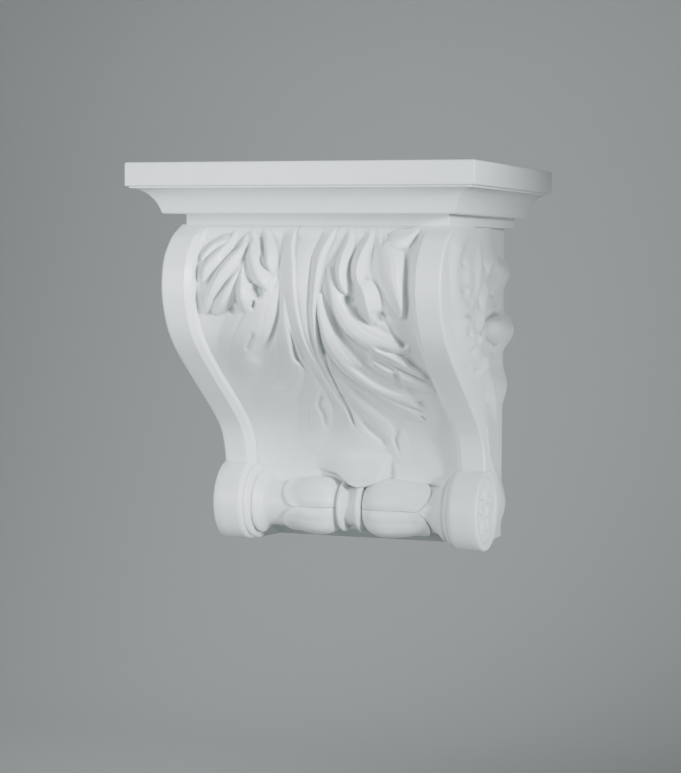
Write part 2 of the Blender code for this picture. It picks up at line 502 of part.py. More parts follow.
def main():
    for found in list(bpy.data.objects):
        bpy.data.objects.remove(found)
    body = lofted("corbel", body_rings(PANEL_COLUMNS, ROW_STEP, SIDE_COLUMNS))
    body = thinned(body, BODY_TRIANGLES)
    joined(body, crown())
    joined(body, thinned(roll(ROLL_SIDES), ROLL_TRIANGLES))
    cut_flat(body)
    body.name = "corbel"
    body.data.materials.clear()
    body.data.materials.append(material())


if __name__ == "__main__":
    main()
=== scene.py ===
"""Dresses the packed corbel: a moulded crown, an S-shaped body with raised bands, an acanthus leaf on
its front, scrolls on its sides, and a turned roll with leafy buds and rosettes along its foot, all in one
satin white primer. It is laid out as an add-on and run as a script."""

import json
import math

import bmesh
import bpy
import numpy as np
from bpy.props import FloatProperty, FloatVectorProperty, IntProperty, PointerProperty
from mathutils import Matrix, Vector

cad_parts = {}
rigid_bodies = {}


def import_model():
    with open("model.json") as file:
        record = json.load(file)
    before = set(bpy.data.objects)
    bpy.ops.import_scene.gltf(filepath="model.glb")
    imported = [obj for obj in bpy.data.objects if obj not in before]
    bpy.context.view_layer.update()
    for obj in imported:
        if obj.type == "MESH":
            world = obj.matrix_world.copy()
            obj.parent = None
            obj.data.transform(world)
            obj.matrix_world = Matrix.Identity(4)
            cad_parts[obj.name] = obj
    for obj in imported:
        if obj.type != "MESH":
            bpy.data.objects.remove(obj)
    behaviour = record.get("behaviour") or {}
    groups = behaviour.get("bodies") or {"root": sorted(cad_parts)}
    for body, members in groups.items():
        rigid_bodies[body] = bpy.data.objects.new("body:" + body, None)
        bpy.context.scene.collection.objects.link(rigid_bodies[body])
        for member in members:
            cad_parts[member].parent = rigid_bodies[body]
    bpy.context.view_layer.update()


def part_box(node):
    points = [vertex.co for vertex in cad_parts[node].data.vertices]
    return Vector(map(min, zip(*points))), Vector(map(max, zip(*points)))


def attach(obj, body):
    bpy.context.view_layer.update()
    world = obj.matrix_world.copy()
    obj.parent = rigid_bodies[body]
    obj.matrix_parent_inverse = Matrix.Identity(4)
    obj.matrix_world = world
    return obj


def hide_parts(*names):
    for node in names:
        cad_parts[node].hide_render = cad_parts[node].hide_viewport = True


bl_info = {
    "name": "Carved corbel",
    "version": (1, 0, 0),
    "blender": (4, 5, 0),
    "location": "View3D > Sidebar > Corbel",
    "description": "Builds a moulded corbel with an acanthus leaf over its packed frame",
    "category": "Object",
}

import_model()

MM = 0.001
NODE = "corbel"
LOW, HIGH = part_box(NODE)
HEIGHT = (HIGH.z - LOW.z) / MM
DEPTH = (HIGH.y - LOW.y) / MM
WIDTH = (HIGH.x - LOW.x) / MM

# All sizes below are in millimetres. Heights are measured from the foot, and depths from the wall. The points
# of the carving were picked in enlarged parts of the photograph, turned into millimetres with the
# camera that is fitted to it, and corrected.

# Front edge of the raised bands, as (height, depth)
BAND_LINE = [
    (46, 78.4), (56, 79.4), (66, 82.2), (76, 87.6), (88, 101.2), (102, 120.8), (116, 140.5), (130, 159.2),
    (141, 171.2), (151, 177.6), (162, 182.2), (172, 184.0), (182, 183.2), (191, 180.0), (199, 173.6),
    (205, 166.5), (209, 158.5), (212, 152.8), (222, 152.6),
]
BAND_BEND = 5.0  # how far up and down its bends are evened out
BAND_EVEN_BELOW = 195.0
BEVEL_DROP = 3.4
EDGE_ROUND = 1.6

# Where the body meets the crown's neck
NECK_LEVEL = 211.8
NECK_FRONT = 153.2
BODY_TOP = 220.0  # the body runs up inside the neck
NECK_FRONT_GAP = 0.6
NECK_SIDE_STEP = 4.2
NECK_BACK_GAP = 0.8
NECK_FADE = 9.0  # height over which the carving fades out below

# The core behind the roll
CORE_FRONT = 70.0
CORE_TOP = 44.0
CORE_BLEND = 12.0  # height of its blend into the S-curve
CORE_EDGE = 15.0  # it is cut back below this height
CORE_UNDERCUT = 26.0
CORE_HALF = 84.0
TONGUE_SINK = 1.5  # how far the leaf's tongue is sunk in it

# The roll, whose axis is higher at the discs than at the buds
AXIS_DEPTH = 73.0
DISC_RADIUS = 27.0
BUDS_END = 62.0
DISCS_START = 74.0

# The body under the carved pieces and inside the discs
BEHIND = 3.0
RECESS_SINK = 3.2
RECESS_REACH = 24.5

# Inner edge of the raised border on the sides, as (height, depth)
BORDER_LINE = [
    (46, 67.0), (56, 68.0), (66, 69.5), (76, 74.0), (88, 85.0), (102, 102.0), (116, 121.0), (130, 139.0),
    (146, 152.0), (160, 158.5), (175, 162.0), (190, 165.0), (199.7, 163.0), (204.6, 153.0), (208, 141.0),
    (211.8, 110.0), (222, 110.0),
]

# Lobes of the leaf on its right and left half: a lean of the crest to the left of the stroke's way, how sharp
# the crest is, and the stroke as (distance from the middle, height, half width, height of relief)
RIGHT_LOBES = [
    (-0.45, 0.15, [
        (18.0, 184, 2.4, 2.0), (22.4, 170.5, 5.2, 5.4), (26.4, 159.4, 7.8, 6.4), (31.7, 149.5, 9.4, 6.8),
        (38.7, 142.4, 9.6, 6.6), (46.0, 139.4, 8.2, 6.0), (53.7, 137.6, 6.4, 5.0), (61.5, 136.0, 3.4, 2.8)
    ]),
    (0.2, 0.3, [
        (38.0, 137.5, 5.8, 6.0), (46.0, 131.8, 6.4, 7.0), (53.4, 127.0, 5.4, 6.6),
        (60.0, 121.8, 4.0, 5.2), (65.5, 117.0, 2.2, 3.0)
    ]),
    (0.2, 0.3, [
        (30, 133, 4.0, 3.0), (40, 124.5, 6.4, 5.6), (50, 116.5, 6.2, 6.2), (60, 111.5, 5.0, 5.4),
        (69, 108.0, 2.5, 3.0)
    ]),
    (-0.35, 0.35, [
        (11.9, 168, 2.4, 2.5), (13.0, 158, 4.6, 5.0), (14.2, 149.5, 6.0, 6.2), (15.4, 141, 7.8, 6.8),
        (17.6, 132.5, 9.2, 7.2), (21.6, 122.5, 9.6, 7.2), (29.0, 112.6, 8.6, 6.8),
        (39.0, 105.4, 7.4, 6.4), (49.5, 100.4, 6.0, 5.8), (59.5, 95.0, 3.0, 3.5)
    ]),
    (0.2, 0.3, [(28, 108, 4.0, 3.0), (37, 98.5, 6.6, 5.2), (46.5, 91.6, 5.6, 5.0), (55, 86.5, 2.6, 3.0)]),
    (-0.2, 0.1, [
        (6, 128, 4.0, 2.5), (11, 109, 8.4, 3.6), (17, 94.5, 11.0, 3.6), (24, 81.5, 11.5, 2.8),
        (29.5, 70, 9.4, 1.8), (32, 60, 6.0, 0.8)
    ]),
    (0.0, 0.5, [
        (24.7, 210.0, 2.5, 2.0), (26.6, 199.5, 4.0, 5.5), (26.2, 191, 5.0, 7.0), (26.0, 183, 5.2, 7.2),
        (27.4, 175, 4.4, 6.5), (29.6, 169.5, 2.0, 4.0)
    ]),
    (0.2, 0.8, [
        (38.0, 211, 3.0, 2.0), (38.6, 202, 4.4, 6.0), (37.6, 195, 5.6, 7.8), (36.6, 188, 6.4, 8.4),
        (36.6, 181.5, 5.6, 8.4), (38.2, 176.5, 4.6, 8.0), (41.5, 170.5, 7.8, 9.8),
        (42.9, 164.3, 8.6, 10.8), (43.7, 157.8, 6.2, 9.2), (43.0, 151.6, 2.0, 4.0)
    ]),
    (0.4, 0.15, [
        (44.5, 205, 3.6, 2.5), (50.2, 197.5, 6.6, 5.8), (54.8, 190.7, 9.8, 7.0), (57.0, 183.0, 10.0, 7.2),
        (59.5, 173.9, 8.0, 6.8), (61.9, 165.3, 5.8, 6.2), (63.4, 156.5, 2.8, 3.5)
    ]),
    (0.0, 0.0, [
        (50.5, 199.5, 2.6, 4.0), (55.7, 202.6, 6.0, 7.2), (60.6, 203.0, 6.6, 7.8),
        (64.1, 205.0, 4.8, 6.6), (67.5, 209.0, 2.2, 3.0)
    ]),
]
LEFT_LOBES = [
    (-0.2, 0.0, [
        (20, 176, 5.0, 2.4), (28, 163, 12.0, 5.2), (35, 150, 17.0, 5.6), (43, 139, 17.0, 5.0),
        (52, 129, 13.0, 3.6), (60, 121, 8.0, 2.0)
    ]),
    (-0.35, 0.1, [
        (11.9, 168, 2.4, 2.5), (13.6, 152, 5.5, 4.4), (15.4, 141, 8.4, 4.6), (19.0, 127, 11.0, 4.2),
        (28.0, 114.0, 12.0, 3.2), (41.0, 104.0, 11.0, 2.4), (54.0, 96.0, 8.0, 1.0)
    ]),
    (-0.2, 0.0, [
        (6, 128, 4.0, 2.2), (11, 109, 8.4, 3.0), (17, 94.5, 11.0, 2.8), (24, 81.5, 11.5, 2.0),
        (30, 69, 9.0, 1.0)
    ]),
    (0.0, 0.1, [
        (32.0, 209, 2.4, 2.5), (26.4, 200.4, 3.6, 6.0), (23.0, 194.5, 4.4, 7.5), (21.2, 188.5, 4.2, 7.5),
        (20.4, 183.0, 2.0, 4.0)
    ]),
    (0.0, 0.1, [
        (40.2, 207, 2.6, 2.5), (35.8, 197.7, 5.0, 6.5), (31.6, 189.1, 7.2, 7.8), (28.2, 181.9, 7.8, 8.0),
        (24.6, 176.0, 6.0, 7.5), (21.7, 170.6, 2.4, 4.0)
    ]),
    (0.0, 0.1, [
        (38.7, 186.5, 2.6, 4.0), (37.9, 179.2, 5.2, 7.5), (37.2, 171.9, 7.4, 9.8),
        (37.0, 165.3, 7.4, 10.2), (37.8, 159.9, 4.8, 7.0), (38.6, 156.0, 2.0, 3.0)
    ]),
    (0.0, 0.1, [
        (41.1, 190.5, 2.4, 3.0), (43.2, 181.1, 5.0, 6.5), (47.0, 171.8, 6.6, 7.2),
        (52.4, 164.4, 6.4, 6.6), (59.3, 157.6, 3.0, 3.5)
    ]),
    (0.2, 0.1, [
        (42.9, 204, 2.4, 3.0), (42.0, 196.3, 4.6, 6.6), (45.4, 190.0, 6.2, 7.6), (50.2, 182.3, 7.2, 7.9),
        (55.6, 173.0, 7.2, 7.4), (60.6, 164.9, 5.2, 6.2), (65.6, 157.8, 2.4, 3.2)
    ]),
    (0.2, 0.1, [
        (51.6, 206, 2.2, 2.5), (53.2, 197.5, 4.6, 6.0), (57.6, 190.6, 6.2, 7.0), (62.4, 184.2, 5.2, 6.6),
        (65.4, 177.2, 2.6, 4.0)
    ]),
    (0.0, 0.1, [
        (67.5, 190.6, 2.2, 4.0), (62.2, 198.4, 4.0, 6.2), (56.6, 201.4, 4.2, 6.2), (50.8, 201.3, 2.0, 3.0)
    ]),
]
# The two middle ribs, with their crests to the right, and the broad one between them, with places left of the
# middle below zero
STEMS = [
    (0.85, 0.5, [
        (-14.6, 213, 4.4, 2.6), (-14.0, 203, 4.5, 5.2), (-9.9, 186, 6.0, 5.6), (-8.7, 167, 6.5, 5.6),
        (-8.0, 150, 6.5, 5.4), (-6.2, 138, 5.0, 5.0), (-5.0, 125, 4.4, 4.4), (-3.2, 110, 3.2, 3.4),
        (-1.2, 90, 2.2, 2.0), (0.5, 76, 1.4, 1.0)
    ]),
    (0.55, 0.35, [
        (11.8, 213, 5.0, 2.6), (11.0, 205, 5.0, 5.4), (9.2, 192, 5.2, 5.8), (8.7, 180, 4.2, 5.8),
        (7.5, 167, 3.6, 5.6), (6.0, 159, 3.8, 5.4), (5.0, 150, 3.5, 5.2), (3.3, 136, 2.9, 4.6),
        (2.2, 121, 2.2, 3.8), (1.5, 100, 1.6, 2.4), (1.0, 85, 1.0, 1.0)
    ]),
    (0.0, 0.0, [
        (-1.5, 213, 9.0, 1.0), (-1.5, 200, 9.0, 2.4), (-0.5, 183, 8.5, 3.2), (-0.5, 167, 8.0, 3.6),
        (-1.0, 150, 7.0, 3.8), (-1.2, 136, 5.0, 3.6), (-1.0, 121, 3.6, 3.0), (0.0, 100, 2.2, 1.8),
        (0.7, 85, 1.2, 0.6)
    ]),
]

# Hollows drilled between the lobes, as (distance from the middle, height, radius, depth)
RIGHT_EYES = [(30.6, 166, 2.6, 5.0), (49.8, 155.6, 3.0, 5.0), (58.0, 97.0, 3.0, 3.0)]
LEFT_EYES = [(29.2, 170.3, 3.2, 5.0), (48.0, 158.0, 2.2, 3.0)]

# Cuts between the lobes, as (place left or right of the middle, height, half width, depth)
LEAF_GROOVES = [
    [(16.8, 189.1, 0.84, 2), (15.9, 184.1, 1.51, 5), (16.7, 175.8, 1.68, 6), (18, 167.4, 1.68, 6),
     (18.6, 159, 1.76, 6), (20.2, 151.4, 1.84, 6), (22.7, 144.6, 2.54, 6), (26.5, 139.4, 3.4, 6),
     (30.8, 133.3, 4.4, 5.5), (32.5, 126.2, 3.81, 5), (31, 120.6, 1.64, 3)],
    [(9.1, 155.5, 0.5, 0.7), (8.5, 145.1, 0.81, 2), (7, 137.2, 1.1, 2.3), (6.5, 129.1, 1.2, 2.3),
     (4.8, 120.8, 1.2, 2.3), (4.5, 111.4, 1.09, 2), (4.1, 102.7, 0.98, 1.6), (2.8, 88.9, 0.77, 1)],
    [(27.3, 208.6, 0.84, 1.5), (31.3, 196.8, 1.26, 3), (30.7, 185.9, 1.26, 3), (33, 180.1, 0.84, 2)],
    [(41.8, 200.2, 0.92, 3), (42.7, 192.7, 1.34, 5.5), (43.3, 186, 1.42, 6), (45.6, 180.2, 1.42, 6),
     (48.9, 175.3, 1.17, 5.5), (53.3, 169.6, 0.92, 3.5), (56.6, 164.6, 0.92, 2.5)],
    [(34.5, 173.5, 0.92, 4), (32.4, 168.5, 1.42, 7), (30.3, 165.5, 1.93, 7.5), (33.9, 160.9, 1.26, 6),
     (35.6, 156.8, 1.01, 5), (38.7, 153, 0.75, 4), (42, 151.4, 0.5, 2)],
    [(49.9, 160.3, 0.84, 4), (49.9, 155.3, 2.1, 8), (52.8, 151.6, 1.42, 6), (55.3, 146.9, 1.76, 6.5),
     (57.7, 142.7, 1.58, 5), (60.6, 138.8, 2.25, 7), (62.2, 135.4, 1.54, 4)],
    [(60.3, 131.8, 1.39, 4), (62.5, 127.4, 3.26, 7), (65.8, 124.3, 2.73, 6), (68.3, 120.7, 1.96, 5),
     (68.9, 116.6, 1.96, 6), (70.5, 111, 1.31, 4)],
    [(55.9, 157.5, 1.01, 3), (58, 153.9, 1.01, 3.5)],
    [(43.5, 135.6, 1.22, 1.2), (48.6, 134.5, 1.6, 2.2), (53.5, 133.4, 1.25, 1.2)],
    [(70.1, 208.8, 1.09, 4), (68, 202, 1.42, 5), (67.2, 196.1, 1.84, 6.5), (67.3, 190.4, 1.93, 6.5),
     (67.8, 182.1, 1.68, 6.5), (67.6, 171.4, 1.68, 6.5), (67.7, 164, 1.84, 6.5), (66.6, 155.2, 1.17, 5)],
    [(45.8, 207.8, 1.09, 3), (49.4, 199.8, 1.42, 4)],
    [(49.4, 120.5, 1.56, 2), (48.8, 116.9, 2.6, 4), (46.8, 110.8, 2.86, 4.5), (44.4, 107.5, 1.56, 2)],
    [(49.5, 110.4, 1.56, 2), (53, 107.4, 2.34, 3.6), (57.4, 104, 1.56, 2)],
    [(22, 124, 1.56, 1.2), (27.5, 119.5, 2.6, 2.6), (34, 113, 3.12, 3), (42, 108.4, 2.86, 2.6),
     (50, 105, 1.56, 1.2)],
    [(35.9, 129, 1.09, 1.5), (43.6, 124.6, 1.64, 2.5), (50.3, 119.3, 1.64, 2.5)],
    [(-19.1, 205, 0.75, 2), (-15.2, 193.9, 1.09, 4), (-16.3, 185.5, 1.09, 5), (-16.9, 177.1, 1.26, 6.5),
     (-19.1, 169.4, 1.09, 5)],
    [(-15.8, 167.8, 1.09, 4), (-16.7, 158.4, 1.34, 5.5), (-19.7, 150.7, 1.42, 6),
     (-25.5, 140.9, 2.39, 5.5), (-32.4, 133.6, 3.86, 5), (-40.5, 126.1, 4.36, 3.5),
     (-44.8, 122.3, 2.73, 2)],
    [(-31.8, 173.1, 2.1, 6), (-29.6, 169.7, 3.02, 9), (-27.4, 166.8, 1.68, 6)],
    [(-31.2, 165, 1.09, 5), (-32.6, 159.9, 1.42, 6)],
    [(-38.3, 188.7, 0.75, 2), (-36.8, 181.1, 1.01, 4), (-32.3, 174.4, 1.26, 5)],
    [(-40.6, 206.7, 1.09, 2.5), (-38.4, 200.6, 1.42, 4), (-38.8, 195.5, 1.42, 4), (-40.9, 188.7, 1.51, 4),
     (-44.2, 181.8, 1.68, 4.5), (-49.8, 174.6, 1.51, 4.5), (-55.4, 168.1, 1.09, 4),
     (-61.4, 161.2, 0.92, 3)],
    [(-48.6, 201.4, 1.01, 2.5), (-52.3, 194.5, 1.26, 3), (-54.8, 190.3, 0.67, 1.5)],
    [(-29.2, 193.8, 0.92, 3), (-26.9, 187.9, 1.26, 4.5), (-22.7, 182.9, 0.84, 2.5)],
    [(-21.5, 199.9, 0.59, 2), (-19.8, 194.8, 0.59, 2)],
    [(-47.6, 160.9, 1.09, 4), (-48, 157.5, 1.59, 5)],
    [(-72.9, 208.3, 1.26, 3), (-67.6, 202.2, 1.34, 5), (-69.5, 197, 1.84, 6)],
    [(-65.4, 188.5, 0.92, 3), (-67.5, 183.3, 1.42, 6), (-67.2, 177.4, 1.51, 6), (-66.4, 171.4, 1.26, 5),
     (-67.2, 161.1, 1.01, 5)],
    [(-9, 205.9, 0.67, 3), (-6.6, 201.2, 0.92, 4)],
    [(-2.2, 172.2, 0.45, 0.6), (-1.7, 165.5, 0.67, 1.2), (-1.7, 158.7, 0.67, 1.2),
     (-1.5, 150.1, 0.5, 0.8)],
    [(-34.8, 143.4, 1.32, 1.5), (-39.4, 138.2, 1.7, 1.3), (-44.2, 132.6, 1.26, 1.5)],
    [(-10.6, 147.4, 0.7, 1), (-11.2, 138.6, 1.18, 3), (-13.2, 128.2, 1.85, 5), (-12.4, 124.5, 1.31, 4),
     (-11.6, 119.4, 1.09, 2)],
    [(-0.8, 153.6, 0.45, 0.4), (-1.4, 143.2, 0.55, 0.8), (-1.2, 133.9, 0.73, 0.9),
     (-0.2, 123.9, 0.77, 0.9)],
    [(2.5, 149.4, 0.45, 0.4), (2.5, 139.3, 0.58, 0.8), (3.2, 129.5, 0.65, 0.8)],
    [(-38.5, 107.4, 1.8, 0.6), (-31.1, 109.3, 2.6, 1.4), (-24, 112.6, 1.8, 0.6)],
    [(-8.5, 102.8, 1.56, 2.5), (-14.5, 94.6, 2.03, 3.5), (-14.9, 87.5, 2.16, 3.5),
     (-17.9, 78.6, 1.43, 2.5)],
    [(3.2, 106.4, 1.43, 2.5), (3.6, 102.2, 1.79, 4), (4.1, 93.6, 1.56, 4), (3.9, 86, 1.2, 3.5),
     (3.7, 79.5, 0.83, 2)],
    [(17.1, 111.6, 2.39, 3), (20.7, 101.7, 4.78, 5), (28.4, 93.9, 5.75, 5.5), (32.2, 87, 4.78, 5),
     (31.8, 77.3, 2.16, 4), (29.6, 70.8, 1.56, 4), (30.5, 61, 1.2, 3)],
    [(9.7, 85.1, 1.43, 2), (13.8, 77.7, 2.63, 3.5), (20.6, 70.5, 2.63, 3.5), (19.3, 66.2, 1.2, 2)],
    [(55.7, 100.7, 2.39, 5), (57.8, 96, 3.35, 6), (62.1, 93, 1.56, 4)],
    [(52.1, 89.4, 1.43, 4), (55, 86.3, 1.79, 4.5)],
]

# How the cuts work on the leaf
SHALLOW_ABOVE = 165  # they bite less in the upper lobes
FULL_CUT = 7.5  # a cut of this depth goes down to the ground
DEEP_CUT = 7.0  # a cut of this depth goes the whole cut depth below it
LEAF_FLOOR = -2.5

# The broad tongue that hangs over the roll: its lower edge as (place left or right of the middle, height), its
# relief above the panel and its reach to either side as (height, length)
TIP_EDGE = [
    (-30.0, 50.0), (-24.0, 48.6), (-17.0, 47.0), (-13.0, 46.3), (-9.0, 44.8), (-4.0, 42.0), (1.0, 39.3),
    (6.6, 38.2), (14.0, 39.9), (19.8, 42.1), (24.6, 45.0), (30.0, 50.0),
]
TIP_RISE = [
    (37.0, 19.4), (40.0, 18.6), (44.5, 16.2), (47.0, 14.4), (52.0, 10.5), (58.0, 6.8), (66.0, 4.4),
    (76.0, 3.6), (90.0, 3.0), (104.0, 0.0),
]
TIP_LEFT = [(37.0, 33.0), (58.0, 34.0), (66.0, 31.0), (76.0, 24.0), (90.0, 13.0), (104.0, 5.0)]
TIP_RIGHT = [(37.0, 21.4), (58.0, 21.4), (66.0, 21.0), (76.0, 18.0), (90.0, 10.0), (104.0, 4.0)]
TIP_MIDDLE = 4.0
TIP_BOTTOM = 36.5
TIP_TOP = 103.0
TIP_CRISP_BELOW = 63.0
TIP_LIP = 2.6

# Carving on the sides: lean, sharpness and the stroke as (depth, height, half width, height of relief)
SIDE_LOBES = [
    (0.0, 0.2, [
        (107.8, 205, 5.6, 3.0), (128.0, 199, 9.0, 8.6), (139.0, 190, 11.0, 10.2),
        (142.0, 180, 11.6, 10.8), (139.0, 169.7, 11.8, 10.8), (128.0, 161.8, 11.6, 10.8),
        (111.4, 156.8, 9.6, 9.8)
    ]),
    (0.0, 0.3, [
        (77.7, 199, 3.7, 2.5), (79.8, 192, 5.5, 6.0), (82.1, 182.6, 6.9, 8.5), (87.6, 173.4, 7.4, 9.0),
        (97.1, 165.1, 7.9, 9.2), (109.1, 159.4, 7.9, 9.2)
    ]),
    (0.0, 0.3, [(101.4, 186, 3.7, 5.0), (107.5, 179.5, 5.5, 7.5), (105.0, 174.4, 4.2, 6.0)]),
    (0.0, 0.2, [
        (124.0, 160, 15.0, 10.4), (117.3, 151.6, 18.0, 10.6), (106.1, 142.8, 17.0, 10.4),
        (92.4, 133.9, 14.4, 9.8), (79.0, 125.0, 11.6, 8.6), (64.5, 118.5, 8.3, 7.0),
        (49.6, 110.7, 6.9, 6.5), (37.2, 102.0, 6.5, 6.0), (29.4, 94.4, 5.5, 5.5), (17.6, 84.5, 3.7, 3.0)
    ]),
    (0.0, 0.3, [
        (53.5, 179.5, 3.2, 4.0), (59.5, 173.8, 4.8, 6.5), (65.3, 166.1, 5.8, 7.5),
        (70.8, 156.8, 6.8, 8.2), (76.1, 147.5, 8.0, 8.4), (80.8, 139.9, 9.2, 8.2)
    ]),
    (0.0, 0.3, [
        (26.0, 193, 3.2, 4.0), (43.4, 190.4, 4.6, 6.0), (53.5, 185.5, 5.1, 6.5), (54.2, 179.0, 4.2, 5.0)
    ]),
    (0.0, 0.3, [
        (31.0, 186.7, 3.5, 4.0), (21.7, 184.9, 6.5, 5.5), (9.3, 181.7, 9.2, 6.0), (-4.0, 180.5, 9.4, 5.2)
    ]),
    (0.0, 0.3, [
        (46.0, 147.0, 4.5, 5.0), (37.8, 145.8, 8.4, 8.5), (27.3, 144.4, 11.5, 10.0),
        (12.0, 143.0, 13.4, 10.2), (-4.0, 142.5, 13.6, 9.6)
    ]),
    (0.0, 0.3, [
        (21.0, 157.6, 2.6, 4.0), (43.3, 154.6, 4.4, 6.5), (56.0, 149.6, 4.8, 7.0), (64.1, 144.9, 4.8, 6.8)
    ]),
    (0.0, 0.3, [
        (43.3, 111.2, 4.5, 4.4), (26.6, 108.1, 9.0, 4.6), (6.8, 105.1, 12.6, 4.4),
        (-4.0, 104.5, 13.0, 3.8)
    ]),
    (0.0, 0.3, [(52.0, 79.0, 2.6, 2.5), (50.0, 66.0, 3.4, 4.0), (45.0, 56.0, 4.0, 4.5)]),
    (0.0, 0.3, [
        (34, 54, 4.0, 4.0), (24, 44, 7.0, 4.6), (13, 33, 10.0, 4.6), (3, 25, 12.5, 4.2),
        (-4, 22, 13.0, 3.6)
    ]),
]
SIDE_GROOVES = [
    [(109.5, 188.6, 1.6, 2.2), (112.5, 188.2, 2.0, 3.0), (115.5, 187.9, 1.6, 2.2)],
    [(110.0, 172.0, 2.4, 3.6), (114.0, 170.2, 3.2, 5.0), (118.0, 169.6, 2.4, 3.6)],
    [(60.0, 177.4, 2.6, 2.6), (50.0, 175.2, 3.8, 4.2), (34.0, 171.6, 4.2, 4.6), (22.0, 169.6, 3.2, 3.4)],
    [(56.0, 140.4, 2.0, 2.6), (44.0, 136.8, 3.0, 3.8), (30.0, 132.4, 3.4, 4.4), (18.0, 130.0, 3.0, 3.4)],
    [(82.0, 142.4, 1.4, 2.2), (72.0, 144.6, 1.8, 3.2), (56.0, 150.2, 2.2, 3.8), (36.0, 153.6, 2.2, 3.6),
     (16.0, 154.8, 2.0, 2.8)],
    [(126.0, 155.3, 0.8, 1.2), (112.6, 154.6, 1.1, 1.8), (98.4, 153.7, 0.8, 1.2)],
    [(116.0, 147.4, 1.2, 1.6), (111.5, 144.4, 1.8, 2.6), (106.0, 141.6, 1.2, 1.6)],
    [(78.0, 168.0, 0.9, 1.2), (76.0, 163.0, 1.2, 1.8), (77.0, 157.6, 0.9, 1.2)],
    [(68.0, 191.4, 1.0, 1.4), (62.0, 186.6, 1.4, 2.0), (60.0, 182.4, 1.0, 1.4)],
    [(47.0, 189.4, 1.0, 1.4), (52.0, 184.0, 1.2, 1.6)],
    [(98.0, 134.6, 1.2, 1.4), (101.0, 130.4, 1.4, 1.8), (92.0, 124.0, 1.4, 1.8), (80.0, 117.4, 1.4, 1.8)],
    [(60.0, 106.0, 1.4, 1.4), (52.0, 100.0, 2.0, 2.0), (46.0, 95.4, 1.4, 1.4)],
    [(89.0, 184.0, 0.8, 0.8), (91.0, 176.0, 1.1, 1.4), (97.0, 169.6, 1.1, 1.4), (106.0, 165.4, 0.8, 0.8)],
]
SIDE_KNOBS = [(86.7, 139.7, 3.2, 2.2), (70.0, 124.0, 7.0, 1.6)]

# The cuts on the sides are drawn out along the depth, to their half width divided by this
SIDE_SLANT = 0.45

# Relief of the scrolls
WALL_SHARE = 0.84  # share of the drawn relief beside the wall
WALL_RISE = 1.2  # rise of the ground beside the wall
WALL_BAND = (14.0, 50.0)  # where this bold part starts to fade, and over what width
CUT_FLOOR = (2.4, 4.0)  # level under which the cuts are softened, and how far below it they can go
HIGHEST_SCROLL = 11.0

# Half of the turned roll from the middle outwards, as (distance from the middle, radius)
ROLL_LINE = [
    (0.0, 12.6), (3.2, 13.0), (3.9, 14.6), (4.6, 16.2), (5.5, 17.1), (6.6, 17.2), (7.6, 16.5),
    (8.4, 14.6), (9.2, 10.6), (12.0, 12.4), (17.0, 15.6), (24.0, 17.4), (31.0, 17.0), (39.0, 16.0),
    (47.0, 15.2), (54.0, 15.0), (58.0, 15.2), (59.6, 15.8), (61.0, 16.8), (62.2, 18.2), (63.4, 19.4),
    (64.6, 20.8), (65.6, 21.2), (66.4, 20.8), (67.0, 20.2), (67.5, 20.6), (68.0, 22.0), (68.7, 23.4),
    (69.5, 24.4), (70.5, 24.8), (71.0, 24.5), (71.4, 24.5), (71.8, 25.2), (72.6, 26.2), (73.6, 26.8),
    (74.8, 27.0), (77.0, 27.0), (80.0, 27.0), (85.0, 27.0), (90.4, 27.0), (91.2, 26.7), (91.8, 26.0),
    (92.0, 25.2), (92.0, 22.4), (91.7, 21.6), (90.9, 21.0), (89.9, 20.6), (89.6, 19.6), (89.7, 14.0),
    (89.8, 6.4), (90.2, 5.8), (91.4, 5.5), (92.6, 4.8), (93.3, 3.4), (93.6, 1.7), (93.7, 0.0),
]

# A leaf of the buds, with its distances from the middle and radii from the roll's axis
BUD_START = 9.0
BUD_SHOULDERS = {1: 47.0, -1: 37.0}  # on the right and on the left bud
BUD_TIP = 9.0  # how far the tip stands beyond the shoulder
BUD_RADIUS = 12.2
BUD_SWELL = 8.4
BUD_RISE = 1.7
BUD_ROLLED = 2.4  # drop of the rolled edge
BUD_CURL = 2.4  # rise of the curled tip
BUD_MIDRIB = 0.5
BUD_VEIN = 0.45
BUD_THICKNESS = 2.4
LEAF_FILL = 0.985  # share of the way round that the leaves take

# A petal of the rosettes
ROSETTE_FACE = 90.0  # the face it stands on, from the middle of the corbel
PETAL_START = 5.2
PETAL_LENGTH = 13.6
PETAL_HALF_WIDTH = 5.9
PETAL_DOME = 2.5
PETAL_HOLLOW = 0.9
PETAL_NOTCH = 1.6


# Sizes, finish and studio


class CrownSizes(bpy.types.PropertyGroup):
    """The slab, the hollow moulding and the neck"""

    slab: FloatProperty(
        name="Slab thickness", description="Height of the square-edged slab", default=14.8 * MM,
        unit="LENGTH")
    hollow: FloatProperty(
        name="Hollow height", description="Height of the hollow moulding", default=14.8 * MM,
        unit="LENGTH")
    inset: FloatProperty(
        name="Hollow inset", description="How far the hollow goes in", default=17.4 * MM, unit="LENGTH")
    side: FloatProperty(
        name="Neck inset, sides", description="From the slab's side to the neck's", default=26.0 * MM,
        unit="LENGTH")
    front: FloatProperty(
        name="Neck inset, front", description="From the slab's front to the neck's", default=36.8 * MM,
        unit="LENGTH")
    edge: FloatProperty(
        name="Edge radius", description="Softness of the moulded arrises", default=0.9 * MM,
        unit="LENGTH")


